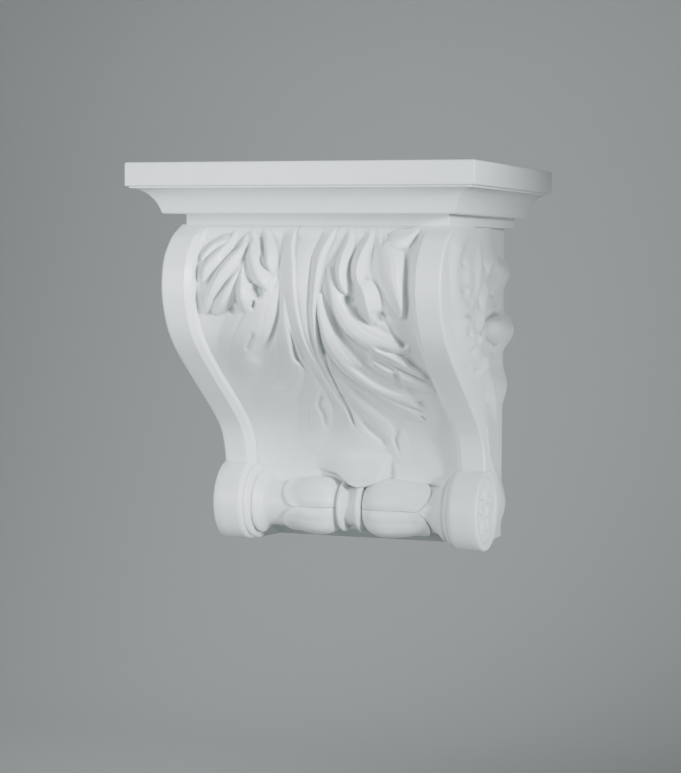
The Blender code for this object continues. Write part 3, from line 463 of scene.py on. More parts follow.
class BodySizes(bpy.types.PropertyGroup):
    """The S-shaped body"""

    half: FloatProperty(
        name="Half width", description="From the middle to the outside of a band", default=91.7 * MM,
        unit="LENGTH")
    band: FloatProperty(
        name="Band width", description="Width of each raised band", default=19.4 * MM, unit="LENGTH")
    bevel: FloatProperty(
        name="Band bevel", description="Width of the sloping inner edge of a band", default=3.6 * MM,
        unit="LENGTH")
    panel: FloatProperty(
        name="Panel depth", description="How far the carved panel is sunk", default=9.0 * MM,
        unit="LENGTH")
    side: FloatProperty(
        name="Side ground", description="From the middle to the ground of the side carving",
        default=80.0 * MM, unit="LENGTH")


class CarvingSizes(bpy.types.PropertyGroup):
    """The leaf and the side scrolls"""

    stem: FloatProperty(
        name="Stem relief",
        description="Relief of the leaf's two middle ribs, as a share of the drawn one", default=1.0)
    cut: FloatProperty(
        name="Cut depth", description="How far the leaf's deepest cuts go below its ground",
        default=2.2 * MM, unit="LENGTH")
    swell: FloatProperty(
        name="Scroll ground", description="Height of the scrolls' ground over the sunk side",
        default=5.5 * MM, unit="LENGTH")
    share: FloatProperty(
        name="Scroll relief",
        description="Relief of the scrolls away from the wall, as a share of the drawn one",
        default=0.46)
    vein: FloatProperty(
        name="Vein depth", description="Depth of the fine veins along each lobe", default=0.45 * MM,
        unit="LENGTH")
    leaf_step: FloatProperty(
        name="Leaf fineness", description="Distance between points of the leaf", default=0.54 * MM,
        unit="LENGTH")
    side_step: FloatProperty(
        name="Side fineness", description="Distance between points of the scrolls", default=0.7 * MM,
        unit="LENGTH")


class RollSizes(bpy.types.PropertyGroup):
    """The turned roll along the foot"""

    axis_depth: FloatProperty(
        name="Axis depth", description="From the wall to the roll's axis", default=AXIS_DEPTH * MM,
        unit="LENGTH")
    radius: FloatProperty(
        name="Disc radius", description="Radius of the end discs", default=DISC_RADIUS * MM,
        unit="LENGTH")
    bud_height: FloatProperty(
        name="Bud height", description="Height of the buds' axis above the foot", default=25.5 * MM,
        unit="LENGTH")
    leaves: IntProperty(name="Bud leaves", description="Leaves around each bud", default=4, min=3, max=8)
    petals: IntProperty(
        name="Rosette petals", description="Petals of the rosette on each end", default=5, min=4, max=8)
    sides: IntProperty(
        name="Roundness", description="Points around the roll", default=128, min=24, max=256)


class FinishColours(bpy.types.PropertyGroup):
    """The primer"""

    primer: FloatVectorProperty(
        name="Primer", description="Colour of the satin white primer", subtype="COLOR", size=3, min=0,
        max=1, default=(0.76, 0.78, 0.775))
    # Painted shade: the primer turns towards this colour in creases, cuts and under the roll.
    hollow: FloatVectorProperty(
        name="Hollows", description="Colour where the primer lies thick in the hollows",
        subtype="COLOR", size=3, min=0, max=1, default=(0.43, 0.46, 0.45))
    roughness: FloatProperty(
        name="Roughness", description="Mean roughness of the primer", default=0.36, min=0, max=1,
        subtype="FACTOR")


class StudioSettings(bpy.types.PropertyGroup):
    """Floor, light and camera"""

    floor: FloatVectorProperty(
        name="Floor", description="Colour of the pale floor", subtype="COLOR", size=3, min=0, max=1,
        default=(0.70, 0.705, 0.705))
    drop: FloatProperty(
        name="Floor distance", description="From the foot down to the floor", default=0.40,
        unit="LENGTH")
    key: FloatProperty(
        name="Key light", description="Power of the gridded soft box on the right", default=7.2,
        unit="POWER")
    front: FloatProperty(
        name="Front light", description="Power of the soft light in front", default=6.2, unit="POWER")
    kick: FloatProperty(
        name="Kick light", description="Power of the small light beside the lower right side",
        default=0.12, unit="POWER")
    back: FloatProperty(
        name="Backdrop light", description="Power of the light on the backdrop", default=3.1,
        unit="POWER")
    room: FloatProperty(
        name="Room light", description="Strength of the even light of the room", default=0.12)


# Drawing the carving


def curve(stations, at):
    """A smooth line through the stations that doesn't overshoot them."""
    x = np.array([s[0] for s in stations], float)
    y = np.array([s[1] for s in stations], float)
    step = np.diff(x)
    rise = np.diff(y) / step
    slope = np.zeros(len(x))
    slope[0], slope[-1] = rise[0], rise[-1]
    for k in range(1, len(x) - 1):
        if rise[k - 1] * rise[k] > 0:
            a, b = 2 * step[k] + step[k - 1], step[k] + 2 * step[k - 1]
            slope[k] = (a + b) / (a / rise[k - 1] + b / rise[k])
    at = np.clip(np.asarray(at, float), x[0], x[-1])
    k = np.clip(np.searchsorted(x, at, "right") - 1, 0, len(x) - 2)
    t = (at - x[k]) / step[k]
    return (
        (1 + 2 * t) * (1 - t) ** 2 * y[k]
        + t * (1 - t) ** 2 * step[k] * slope[k]
        + t * t * (3 - 2 * t) * y[k + 1]
        + t * t * (t - 1) * step[k] * slope[k + 1]
    )


def band_line(height):
    """Distance from the wall to the bands' front edge, with its bends evened out below the shoulder."""
    line = curve(BAND_LINE, height)
    even = sum(curve(BAND_LINE, height + BAND_BEND * k) for k in (-1, -0.5, 0, 0.5, 1)) / 5
    return line + (even - line) * ease((BAND_EVEN_BELOW - height) / 15.0)


def ease(value):
    """A soft step from 0 to 1."""
    value = np.clip(value, 0.0, 1.0)
    return value * value * (3 - 2 * value)


def stroke_path(points, parts=6):
    """The stroke's points with smooth ones between them."""
    points = np.array(points, float)
    padded = np.vstack([2 * points[0] - points[1], points, 2 * points[-1] - points[-2]])
    found = []
    for k in range(1, len(padded) - 2):
        a, b, c, d = padded[k - 1], padded[k], padded[k + 1], padded[k + 2]
        for t in np.arange(parts) / parts:
            bend = (2 * a - 5 * b + 4 * c - d) * t * t + (3 * b - a - 3 * c + d) * t ** 3
            found.append(0.5 * (2 * b + (c - a) * t + bend))
    found.append(points[-1])
    return np.array(found)


def nearest(path, across, height):
    """For each point, its distance from the stroke as a share of the half width, how squarely and on which side
    it lies, the place along the stroke from 0 to 1, and the relief's height there."""
    best = np.full(across.shape, 9.0)
    side = np.zeros(across.shape)
    along = np.zeros(across.shape)
    high = np.zeros(across.shape)
    length = np.hypot(*np.diff(path[:, :2], axis=0).T)
    reach = np.concatenate([[0], np.cumsum(length)]) / length.sum()
    for k, ((x0, z0, w0, h0), (x1, z1, w1, h1)) in enumerate(zip(path[:-1], path[1:])):
        dx, dz = x1 - x0, z1 - z0
        t = np.clip(((across - x0) * dx + (height - z0) * dz) / (dx * dx + dz * dz), 0, 1)
        gx, gz = across - x0 - t * dx, height - z0 - t * dz
        gap = np.hypot(gx, gz)
        r = gap / np.maximum(w0 + t * (w1 - w0), 0.5)
        turn = (dx * gz - dz * gx) / (np.hypot(dx, dz) * np.maximum(gap, 1e-6))
        closer = r < best
        best = np.where(closer, r, best)
        side = np.where(closer, turn, side)
        along = np.where(closer, reach[k] + t * (reach[k + 1] - reach[k]), along)
        high = np.where(closer, h0 + t * (h1 - h0), high)
    return best, side, along, high


def stroke(lobe, across, height, vein=0.0):
    """Height of one lobe: a stroke with its crest off the middle and two fine veins."""
    lean, sharp, points = lobe
    path = stroke_path(points)
    wide = path[:, 2].max() + 0.5
    near = ((across > path[:, 0].min() - wide) & (across < path[:, 0].max() + wide)
            & (height > path[:, 1].min() - wide) & (height < path[:, 1].max() + wide))
    found = np.zeros(across.shape)
    if not near.any():
        return found
    r, side, along, high = nearest(path, across[near], height[near])
    rho = np.clip(r, 0, 1) * np.where(np.abs(side) > 1e-9, side, 0.0)
    crest = lean * np.abs(side)
    off = np.clip(r, 0, 1) * np.sign(side)
    t = np.where(off > crest, (off - crest) / (1 - crest), (crest - off) / (1 + crest))
    t = np.clip(np.where(r >= 1, 1, t), 0, 1)
    shape = (1 - sharp) * (1 - t * t) + sharp * (1 - t)
    fine = vein * np.exp(-((np.abs(rho) - 0.42) / 0.07) ** 2) * ease(along / 0.25) * ease((1 - along) / 0.25)
    found[near] = np.maximum(high * shape - fine, 0.0)
    return found


def pits(eyes, across, height):
    """Depth of the drilled hollows."""
    depth = np.zeros(across.shape)
    for x, z, radius, deep in eyes:
        depth = depth + deep * np.exp(-(((across - x) ** 2 + (height - z) ** 2) / radius ** 2) ** 1.3)
    return depth


def cuts(lines, across, height):
    """How strongly the cuts show at each point, from 0 to 1, and their depth there."""
    strength = np.zeros(across.shape)
    depth = np.zeros(across.shape)
    for line in lines:
        path = stroke_path(line, 4)
        wide = 2.2 * path[:, 2].max() + 1.0
        near = ((across > path[:, 0].min() - wide) & (across < path[:, 0].max() + wide)
                & (height > path[:, 1].min() - wide) & (height < path[:, 1].max() + wide))
        if not near.any():
            continue
        r, _, along, deep = nearest(path, across[near], height[near])
        here = np.exp(-np.minimum(r, 4.0) ** 3) * (0.3 + 0.7 * ease(along / 0.12) * ease((1 - along) / 0.12))
        stronger = here * deep > strength[near] * depth[near]
        strength[near] = np.where(stronger, here, strength[near])
        depth[near] = np.where(stronger, deep, depth[near])
    return strength, depth


def smoothed(field, rounds):
    """The grid's heights evened out with their neighbours."""
    for _ in range(rounds):
        grown = np.pad(field, 1, mode="edge")
        field = (4 * field + grown[:-2, 1:-1] + grown[2:, 1:-1] + grown[1:-1, :-2] + grown[1:-1, 2:]) / 8
    return field


def leaf_relief(across, height, sizes):
    """Relief of the front leaf above the sunk panel."""
    x = np.abs(across)
    vein = sizes.vein / MM
    top = np.zeros(x.shape)
    for lobes, half in ((LEFT_LOBES, across < 0), (RIGHT_LOBES, across >= 0)):
        for lobe in lobes:
            top = np.where(half, np.maximum(top, stroke(lobe, x, height, vein)), top)
    for stem in STEMS:
        top = np.maximum(top, sizes.stem * stroke(stem, across, height))
    off = across - TIP_MIDDLE
    reach = np.where(off > 0, curve(TIP_RIGHT, height), curve(TIP_LEFT, height))
    r = np.clip(np.abs(off) / reach, 0, 1)
    crisp = np.where(off > 0, ease((TIP_CRISP_BELOW - height) / 8), 0.0)
    lip = np.clip((height - curve(TIP_EDGE, across)) / TIP_LIP, 0, 1)
    fall = (1 - crisp) * (1 - r * r) ** 1.9 + crisp * (1 - r ** 9)
    tip = curve(TIP_RISE, height) * fall * (1 - (1 - lip) ** 4)
    top = np.where((height > TIP_BOTTOM) & (height < TIP_TOP), np.maximum(top, tip), top)
    top = top - np.where(across < 0, pits(LEFT_EYES, x, height), pits(RIGHT_EYES, x, height))
    strength, depth = cuts(LEAF_GROOVES, across, height)
    lower = ease((SHALLOW_ABOVE - height) / 25)
    top = top * (1 - np.minimum(depth * (0.6 + 0.6 * lower) / FULL_CUT, 1.0) * strength)
    bite = sizes.cut / MM * depth / DEEP_CUT * (0.25 + 0.75 * lower)
    return np.maximum(top - strength * bite, LEAF_FLOOR)


def side_relief(depth, height, share):
    """Relief of the side scrolls, whose lobes melt into one another."""
    total = np.zeros(depth.shape)
    for lobe in SIDE_LOBES:
        total = total + stroke(lobe, depth, height) ** 5
    lines = [[(p * SIDE_SLANT, z, wide, deep) for p, z, wide, deep in line] for line in SIDE_GROOVES]
    strength, deep = cuts(lines, depth * SIDE_SLANT, height)
    return total ** 0.2 * share, strength * deep - pits(SIDE_KNOBS, depth, height)


# Meshes


def finished(name, mesh, slot_material, sharp=35.0, hollow=None):
    """Makes the mesh a finished piece: outward faces, soft shading with crisp arrises, its material, and its
    place on the frame."""
    data = bpy.data.meshes.new(name)
    if isinstance(mesh, bmesh.types.BMesh):
        bmesh.ops.recalc_face_normals(mesh, faces=mesh.faces)
        if mesh.calc_volume(signed=True) < 0:
            bmesh.ops.reverse_faces(mesh, faces=mesh.faces)
        mesh.to_mesh(data)
        mesh.free()
    else:
        points, faces = mesh
        data.from_pydata([tuple(p) for p in points], [], faces)
    data.polygons.foreach_set("use_smooth", [True] * len(data.polygons))
    data.set_sharp_from_angle(angle=math.radians(sharp))
    # The hollow attribute is painted shade: where it is high, the primer darkens towards the Hollows colour.
    if hollow is not None:
        layer = data.attributes.new("hollow", "FLOAT", "POINT")
        layer.data.foreach_set("value", np.asarray(hollow, np.float32))
    data.materials.clear()
    data.materials.append(slot_material)
    data.update()
    piece = bpy.data.objects.new(name, data)
    bpy.context.scene.collection.objects.link(piece)
    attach(piece, "root")
    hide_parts(NODE)
    return piece


def lofted(rings):
    """A closed mesh through rings of points in millimetres."""
    mesh = bmesh.new()
    made = [[mesh.verts.new((x * MM, y * MM, z * MM + LOW.z)) for x, y, z in ring] for ring in rings]
    count = len(rings[0])
    for upper, lower in zip(made[:-1], made[1:]):
        for k in range(count):
            n = (k + 1) % count
            mesh.faces.new((upper[k], upper[n], lower[n], lower[k]))
    mesh.faces.new(made[0][::-1])
    mesh.faces.new(made[-1])
    return mesh


def rim_of(rows, columns):
    """The row and column of each point round the edge of a grid."""
    return ([(0, c) for c in range(columns)] + [(r, columns - 1) for r in range(1, rows)]
            + [(rows - 1, c) for c in range(columns - 2, -1, -1)] + [(r, 0) for r in range(rows - 2, 0, -1)])


def relief_block(front, back):
    """A closed block, as (points, faces), with a grid of points in front and a flat back behind its rim."""
    rows, columns = front.shape[:2]
    rim = rim_of(rows, columns)
    points = front.reshape(-1, 3)
    start = len(points)
    behind = np.array([back(front[r, c]) for r, c in rim])
    index = np.arange(rows * columns).reshape(rows, columns)
    corners = (index[:-1, :-1], index[:-1, 1:], index[1:, 1:], index[1:, :-1])
    faces = np.stack([corner.ravel() for corner in corners], 1).tolist()
    ring = [int(index[r, c]) for r, c in rim]
    total = len(ring)
    for k in range(total):
        n = (k + 1) % total
        faces.append([ring[n], ring[k], start + k, start + n])
    faces.append([start + k for k in range(total - 1, -1, -1)])
    return np.vstack([points, behind]), faces


def block_mesh(points, faces):
    """The block as a mesh."""
    mesh = bmesh.new()
    verts = [mesh.verts.new(p) for p in points]
    for face in faces:
        mesh.faces.new([verts[k] for k in face])
    return mesh


def painted_crease_shade(field, rounds, span):
    """Painted shade for the hollows, from 0 on crests to 1 in hollows."""
    return np.clip(0.5 + (smoothed(field, rounds) - field) / span, 0, 1)


# Geometry Nodes


SEAM_GAP = 0.002 * MM


class Tree:
    """A Geometry Nodes tree under construction, with short ways to add and join nodes."""

    def __init__(self, name, inputs):
        self.group = bpy.data.node_groups.new(name, "GeometryNodeTree")
        self.group.interface.new_socket("Geometry", in_out="OUTPUT", socket_type="NodeSocketGeometry")
        self.group.interface.new_socket("Geometry", in_out="INPUT", socket_type="NodeSocketGeometry")
        for label, kind in inputs:
            self.group.interface.new_socket(label, in_out="INPUT", socket_type=kind)
        self.start = self.add("NodeGroupInput")
        self.end = self.add("NodeGroupOutput")

    def add(self, kind, **settings):
        """A new node with these settings."""
        node = self.group.nodes.new(kind)
        for key, value in settings.items():
            setattr(node, key, value)
        return node

    def feed(self, node, **wanted):
        """Sets or joins inputs by index, as i0=, i1= and so on."""
        for key, value in wanted.items():
            target = node.inputs[int(key[1:])]
            if isinstance(value, bpy.types.NodeSocket):
                self.group.links.new(value, target)
            else:
                target.default_value = value
        return node

    def maths(self, operation, *values):
        """The output of a math node on sockets or numbers."""
        node = self.add("ShaderNodeMath", operation=operation)
        self.feed(node, **{f"i{k}": v for k, v in enumerate(values)})
        return node.outputs[0]

    def given(self, label):
        """One of the tree's own inputs."""
        return self.start.outputs[label]

    def finish(self, geometry):
        """Realizes instances, sets the material and ends the tree."""
        real = self.feed(self.add("GeometryNodeRealizeInstances"), i0=geometry)
        painted = self.add("GeometryNodeSetMaterial")
        self.group.links.new(real.outputs[0], painted.inputs["Geometry"])
        self.group.links.new(self.given("Material"), painted.inputs["Material"])
        self.group.links.new(painted.outputs[0], self.end.inputs[0])
        return self.group


def grown(name, source, group, values):
    """The plain mesh that the tree makes of the source mesh, with the tree's inputs set by identifier."""
    holder = bpy.data.objects.new(name + "_holder", source)
    bpy.context.scene.collection.objects.link(holder)
    modifier = holder.modifiers.new("form", "NODES")
    modifier.node_group = group
    for item in group.interface.items_tree:
        if item.item_type == "SOCKET" and item.in_out == "INPUT" and item.name in values:
            modifier[item.identifier] = values[item.name]
    bpy.context.view_layer.update()
    graph = bpy.context.evaluated_depsgraph_get()
    data = bpy.data.meshes.new_from_object(holder.evaluated_get(graph))
    holder.modifiers.clear()
    bpy.data.objects.remove(holder)
    mesh = bmesh.new()
    mesh.from_mesh(data)
    return mesh


def line_mesh(name, points):
    """A mesh of points joined by edges, for a tree to read a profile from."""
    data = bpy.data.meshes.new(name)
    data.from_pydata([tuple(p) for p in points], [(k, k + 1) for k in range(len(points) - 1)], [])
    return data


def sampled(tree, geometry, index):
    """The position of the point with that index."""
    node = tree.add("GeometryNodeSampleIndex", data_type="FLOAT_VECTOR", domain="POINT")
    place = tree.add("GeometryNodeInputPosition")
    tree.group.links.new(geometry, node.inputs["Geometry"])
    tree.group.links.new(place.outputs[0], node.inputs["Value"])
    tree.group.links.new(index, node.inputs["Index"])
    parts = tree.add("ShaderNodeSeparateXYZ")
    tree.group.links.new(node.outputs[0], parts.inputs[0])
    return parts.outputs


def grid_of(tree, rows, columns):
    """A grid of rows by columns, and for each point its row and its column."""
    grid = tree.add("GeometryNodeMeshGrid")
    tree.group.links.new(rows, grid.inputs["Vertices X"])
    tree.group.links.new(columns, grid.inputs["Vertices Y"])
    index = tree.add("GeometryNodeInputIndex").outputs[0]
    row = tree.maths("FLOOR", tree.maths("DIVIDE", tree.maths("ADD", index, 0.5), columns))
    column = tree.maths("SUBTRACT", index, tree.maths("MULTIPLY", row, columns))
    return grid.outputs["Mesh"], row, column


def count_of(tree, geometry):
    """How many points the geometry has."""
    size = tree.add("GeometryNodeAttributeDomainSize", component="MESH")
    tree.group.links.new(geometry, size.inputs[0])
    return size.outputs["Point Count"]


def placed(tree, geometry, x, y, z):
    """The geometry with its points moved to these places."""
    joined = tree.add("ShaderNodeCombineXYZ")
    for socket, value in zip(joined.inputs, (x, y, z)):
        tree.group.links.new(value, socket)
    moved = tree.add("GeometryNodeSetPosition")
    tree.group.links.new(geometry, moved.inputs["Geometry"])
    tree.group.links.new(joined.outputs[0], moved.inputs["Position"])
    return moved.outputs[0]


def moulding_tree():
    """Carries a moulding profile, as (side inset, front inset, height), round the crown's plan."""
    tree = Tree("moulding_round_plan", [
        ("Plan", "NodeSocketObject"), ("Half Width", "NodeSocketFloat"), ("Depth", "NodeSocketFloat"),
        ("Corner", "NodeSocketFloat"), ("Material", "NodeSocketMaterial"),
    ])
    plan = tree.add("GeometryNodeObjectInfo", transform_space="ORIGINAL")
    tree.group.links.new(tree.given("Plan"), plan.inputs["Object"])
    corners = plan.outputs["Geometry"]
    profile = tree.given("Geometry")
    grid, turn, level = grid_of(tree, count_of(tree, corners), count_of(tree, profile))
    side, front, height = sampled(tree, profile, level)
    out_x, out_y, angle = sampled(tree, corners, turn)
    radius = tree.given("Corner")
    reach_x = tree.maths("SUBTRACT", tree.maths("SUBTRACT", tree.given("Half Width"), side), radius)
    reach_y = tree.maths("SUBTRACT", tree.maths("SUBTRACT", tree.given("Depth"), front), radius)
    round_x = tree.maths("MULTIPLY", radius, tree.maths("COSINE", angle))
    round_y = tree.maths("MULTIPLY", radius, tree.maths("SINE", angle))
    x = tree.maths("ADD", tree.maths("MULTIPLY", out_x, reach_x), round_x)
    y = tree.maths("MULTIPLY", tree.maths("MULTIPLY", out_y, tree.maths("ADD", reach_y, round_y)), -1.0)
    return tree.finish(placed(tree, grid, x, y, height))


def turning_tree():
    """Turns a profile (place along the axis, radius, height of the axis) into a closed round solid."""
    tree = Tree("turned_round_axis", [
        ("Sides", "NodeSocketInt"), ("Axis Depth", "NodeSocketFloat"), ("Material", "NodeSocketMaterial"),
    ])
    profile = tree.given("Geometry")
    columns = tree.maths("ADD", tree.given("Sides"), 1.0)
    grid, station, spoke = grid_of(tree, count_of(tree, profile), columns)
    along, radius, middle = sampled(tree, profile, station)
    angle = tree.maths("MULTIPLY", tree.maths("DIVIDE", spoke, tree.given("Sides")), 2 * math.pi)
    out = tree.maths("MULTIPLY", radius, tree.maths("COSINE", angle))
    y = tree.maths("MULTIPLY", tree.maths("ADD", tree.given("Axis Depth"), out), -1.0)
    z = tree.maths("ADD", middle, tree.maths("MULTIPLY", radius, tree.maths("SINE", angle)))
    shaped = placed(tree, grid, along, y, z)
    merged = tree.add("GeometryNodeMergeByDistance")
    tree.group.links.new(shaped, merged.inputs["Geometry"])
    merged.inputs["Distance"].default_value = SEAM_GAP
    return tree.finish(merged.outputs[0])


def ring_tree():
    """Repeats one leaf or petal around an axis that runs along X."""
    tree = Tree("leaves_round_axis", [
        ("Count", "NodeSocketInt"), ("Start", "NodeSocketFloat"), ("Centre", "NodeSocketVector"),
        ("Material", "NodeSocketMaterial"),
    ])
    line = tree.add("GeometryNodeMeshLine", mode="OFFSET")
    tree.group.links.new(tree.given("Count"), line.inputs["Count"])
    tree.group.links.new(tree.given("Centre"), line.inputs["Start Location"])
    line.inputs["Offset"].default_value = (0, 0, 0)
    number = tree.add("GeometryNodeInputIndex").outputs[0]
    turn = tree.maths("DIVIDE", tree.maths("MULTIPLY", number, 2 * math.pi), tree.given("Count"))
    spin = tree.add("ShaderNodeCombineXYZ")
    tree.group.links.new(tree.maths("ADD", turn, tree.given("Start")), spin.inputs[0])
    copies = tree.add("GeometryNodeInstanceOnPoints")
    tree.group.links.new(line.outputs[0], copies.inputs["Points"])
    tree.group.links.new(tree.given("Geometry"), copies.inputs["Instance"])
    tree.group.links.new(spin.outputs[0], copies.inputs["Rotation"])
    return tree.finish(copies.outputs[0])


# Finish


def primer():
    """Satin white primer: faint mottling, a fine orange-peel skin, and painted shade that darkens it in the
    hollows, where it is also duller.
    """
    made = bpy.data.materials.get("primed_casting_finish")
    if made:
        return made
    colours = bpy.context.scene.corbel_finish
    made = bpy.data.materials.new("primed_casting_finish")
    made.use_nodes = True
    tree = made.node_tree
    shader = tree.nodes["Principled BSDF"]
    shader.inputs["IOR"].default_value = 1.46
    shader.inputs["Specular IOR Level"].default_value = 0.45

    def add(kind, **settings):
        node = tree.nodes.new(kind)
        for key, value in settings.items():
            setattr(node, key, value)
        return node

    def noise(scale, detail, rough=0.5):
        node = add("ShaderNodeTexNoise")
        node.inputs["Scale"].default_value = scale
        node.inputs["Detail"].default_value = detail
        node.inputs["Roughness"].default_value = rough
        tree.links.new(place.outputs["Object"], node.inputs["Vector"])
        return node.outputs["Fac"]

    def ranged(value, low, high):
        node = add("ShaderNodeMapRange")
        node.inputs["To Min"].default_value = low
        node.inputs["To Max"].default_value = high
        tree.links.new(value, node.inputs["Value"])
        return node.outputs[0]

    def mixed(factor, a, b, blend="MIX"):
        node = add("ShaderNodeMix", data_type="RGBA", blend_type=blend)
        for socket, value in zip((node.inputs[0], node.inputs[6], node.inputs[7]), (factor, a, b)):
            if isinstance(value, bpy.types.NodeSocket):
                tree.links.new(value, socket)
            else:
                socket.default_value = value
        return node.outputs[2]

    place = add("ShaderNodeTexCoord")
    # The hollow attribute paints shade: past one half it mixes the primer towards the Hollows colour.
    hollow = add("ShaderNodeAttribute", attribute_name="hollow").outputs["Fac"]
    deep = add("ShaderNodeMapRange", interpolation_type="SMOOTHSTEP")
    deep.inputs["From Min"].default_value = 0.5
    deep.inputs["From Max"].default_value = 1.0
    tree.links.new(hollow, deep.inputs["Value"])
    mottled = ranged(noise(38.0, 4.0, 0.6), 0.955, 1.04)
    base = mixed(deep.outputs[0], (*colours.primer, 1), (*colours.hollow, 1))
    speckled = ranged(noise(900.0, 2.0), 0.985, 1.012)
    toned = add("ShaderNodeVectorMath", operation="SCALE")
    tree.links.new(base, toned.inputs[0])
    product = add("ShaderNodeMath", operation="MULTIPLY")
    tree.links.new(mottled, product.inputs[0])
    tree.links.new(speckled, product.inputs[1])
    tree.links.new(product.outputs[0], toned.inputs["Scale"])
    tree.links.new(toned.outputs[0], shader.inputs["Base Color"])
    dull = add("ShaderNodeMath", operation="ADD")
    uneven = ranged(noise(120.0, 3.0), colours.roughness - 0.07, colours.roughness + 0.07)
    tree.links.new(uneven, dull.inputs[0])
    duller = add("ShaderNodeMath", operation="MULTIPLY")
    tree.links.new(deep.outputs[0], duller.inputs[0])
    duller.inputs[1].default_value = 0.1
    tree.links.new(duller.outputs[0], dull.inputs[1])
    tree.links.new(dull.outputs[0], shader.inputs["Roughness"])
    skin = add("ShaderNodeBump")
    skin.inputs["Strength"].default_value = 0.25
    skin.inputs["Distance"].default_value = 0.00012
    tree.links.new(noise(1500.0, 2.0), skin.inputs["Height"])
    waves = add("ShaderNodeBump")
    waves.inputs["Strength"].default_value = 0.35
    waves.inputs["Distance"].default_value = 0.0006
    tree.links.new(noise(90.0, 2.0), waves.inputs["Height"])
    tree.links.new(waves.outputs[0], skin.inputs["Normal"])
    tree.links.new(skin.outputs[0], shader.inputs["Normal"])
    return made


# Operators


# The crown's quirk under the slab as (inset, drop), the sweep of the hollow moulding, the fillet under it as
# (drop, inset beyond the hollow), and how finely the arrises and the hollow are rounded
QUIRK, QUIRK_DROP = 2.0, 1.0
HOLLOW_SWEEP = math.radians(70.0)
FILLET = [(0.25, 0.1), (0.8, 0.7)]
ARRIS_PARTS = 4
HOLLOW_PARTS = 20


def crown_profile(sizes):
    """The crown's moulding from the top down, as (height, side inset, front inset)."""
    edge = sizes.edge / MM
    under = HEIGHT - sizes.slab / MM
    hollow, inset = sizes.hollow / MM, sizes.inset / MM
    quarter = [math.pi / 2 * k / ARRIS_PARTS for k in range(ARRIS_PARTS + 1)]
    steps = [(HEIGHT - edge * (1 - math.cos(a)), edge * (1 - math.sin(a))) for a in quarter]
    steps += [(under + edge * (1 - math.sin(a)), edge * (1 - math.cos(a))) for a in quarter]
    steps += [(under, QUIRK), (under - QUIRK_DROP, QUIRK)]
    for k in range(1, HOLLOW_PARTS + 1):
        a = HOLLOW_SWEEP * k / HOLLOW_PARTS
        go = QUIRK + (inset - QUIRK) * math.sin(a) / math.sin(HOLLOW_SWEEP)
        drop = hollow * (1 - math.cos(a)) / (1 - math.cos(HOLLOW_SWEEP))
        steps.append((under - QUIRK_DROP - drop, go))
    foot = under - QUIRK_DROP - hollow
    steps += [(foot - drop, inset + further) for drop, further in FILLET]
    neck = sizes.side / MM, sizes.front / MM
    return [(z, i, i) for z, i in steps] + [(steps[-1][0], *neck), (NECK_LEVEL, *neck)]


def crown_plan():
    """The corners of the crown's plan, as (1 right or -1 left, 1 at the front or 0 at the back, angle)."""
    turns = [(1, 0, 0.0), (1, 1, 0.0)]
    turns += [(1, 1, math.pi / 2 * k / ARRIS_PARTS) for k in range(1, ARRIS_PARTS + 1)]
    turns += [(-1, 1, math.pi / 2 * (1 + k / ARRIS_PARTS)) for k in range(ARRIS_PARTS + 1)]
    return turns + [(-1, 0, math.pi)]


class MakeCrown(bpy.types.Operator):
    """Makes the slab, the hollow moulding under it and the neck"""

    bl_idname = "corbel.make_crown"
    bl_label = "Crown"

    def execute(self, context):
        sizes = context.scene.corbel_crown
        steps, turns = crown_profile(sizes), crown_plan()
        profile = line_mesh("crown_profile", [(s * MM, f * MM, z * MM + LOW.z) for z, s, f in steps])
        plan = bpy.data.objects.new("crown_plan", line_mesh("crown_plan", turns))
        context.scene.collection.objects.link(plan)
        mesh = grown("crown", profile, moulding_tree(), {
            "Plan": plan, "Half Width": WIDTH / 2 * MM, "Depth": DEPTH * MM, "Corner": sizes.edge,
            "Material": primer(),
        })
        bpy.data.objects.remove(plan)
        mesh.verts.ensure_lookup_table()
        count, last = len(steps), len(turns) - 1
        down, across = range(count), range(last + 1)
        top = [mesh.verts[k * count] for k in across]
        foot = [mesh.verts[k * count + count - 1] for k in reversed(across)]
        back = [mesh.verts[k] for k in down] + [mesh.verts[last * count + k] for k in reversed(down)]
        for loop in (top, foot, back):
            mesh.faces.new(loop)
        finished("crown", mesh, primer(), 30.0)
        return {"FINISHED"}


def core_share(height):
    """Share of the core behind the roll in the front's line: 0 on the S-curve and 1 at the foot."""
    return ease((CORE_TOP + CORE_BLEND / 2 - height) / CORE_BLEND)


def under_neck(height):
    """From 0 at the neck to 1 where the panel has its full depth."""
    return ease((NECK_LEVEL - 0.3 - height) / NECK_FADE)


def band_front(across, height, sizes, carved=None, deeper=0.0):
    """Distance from the wall to the front surface, with the leaf's relief on the sunk panel."""
    x = np.abs(across)
    half, inner = sizes.half / MM, (sizes.half - sizes.band) / MM
    bevel_width = sizes.bevel / MM
    line = band_line(height)
    low, fade = core_share(height), under_neck(height)
    bevel = BEVEL_DROP * np.clip((inner + bevel_width - x) / bevel_width, 0, 1)
    sunk = ease((inner - x) / 1.2)
    relief = 0.0 if carved is None else carved
    panel = fade * (-sizes.panel / MM + relief) - deeper
    field = line + np.where(x >= inner, -bevel * fade, (1 - sunk) * -bevel * fade + sunk * panel)
    if carved is not None:
        near = (height > NECK_LEVEL - 0.9) & (height <= NECK_LEVEL)
        field = np.where(near, np.maximum(field, NECK_FRONT), field)
        field = np.where(height > NECK_LEVEL, np.minimum(field, NECK_FRONT - NECK_FRONT_GAP), field)
    corner = np.clip((x - (half - EDGE_ROUND)) / EDGE_ROUND, 0, 1)
    field = field - EDGE_ROUND * (1 - np.sqrt(1 - np.minimum(corner, 0.995) ** 2))
    core = CORE_FRONT - deeper + np.where(height > TIP_BOTTOM, np.maximum(relief - TONGUE_SINK, 0.0), 0.0)
    under = np.clip((CORE_EDGE - height) / CORE_EDGE, 0, 1) ** 1.5
    core = core - CORE_UNDERCUT * under * ease((CORE_HALF - x) / 5.0)
    return field * (1 - low) + core * low


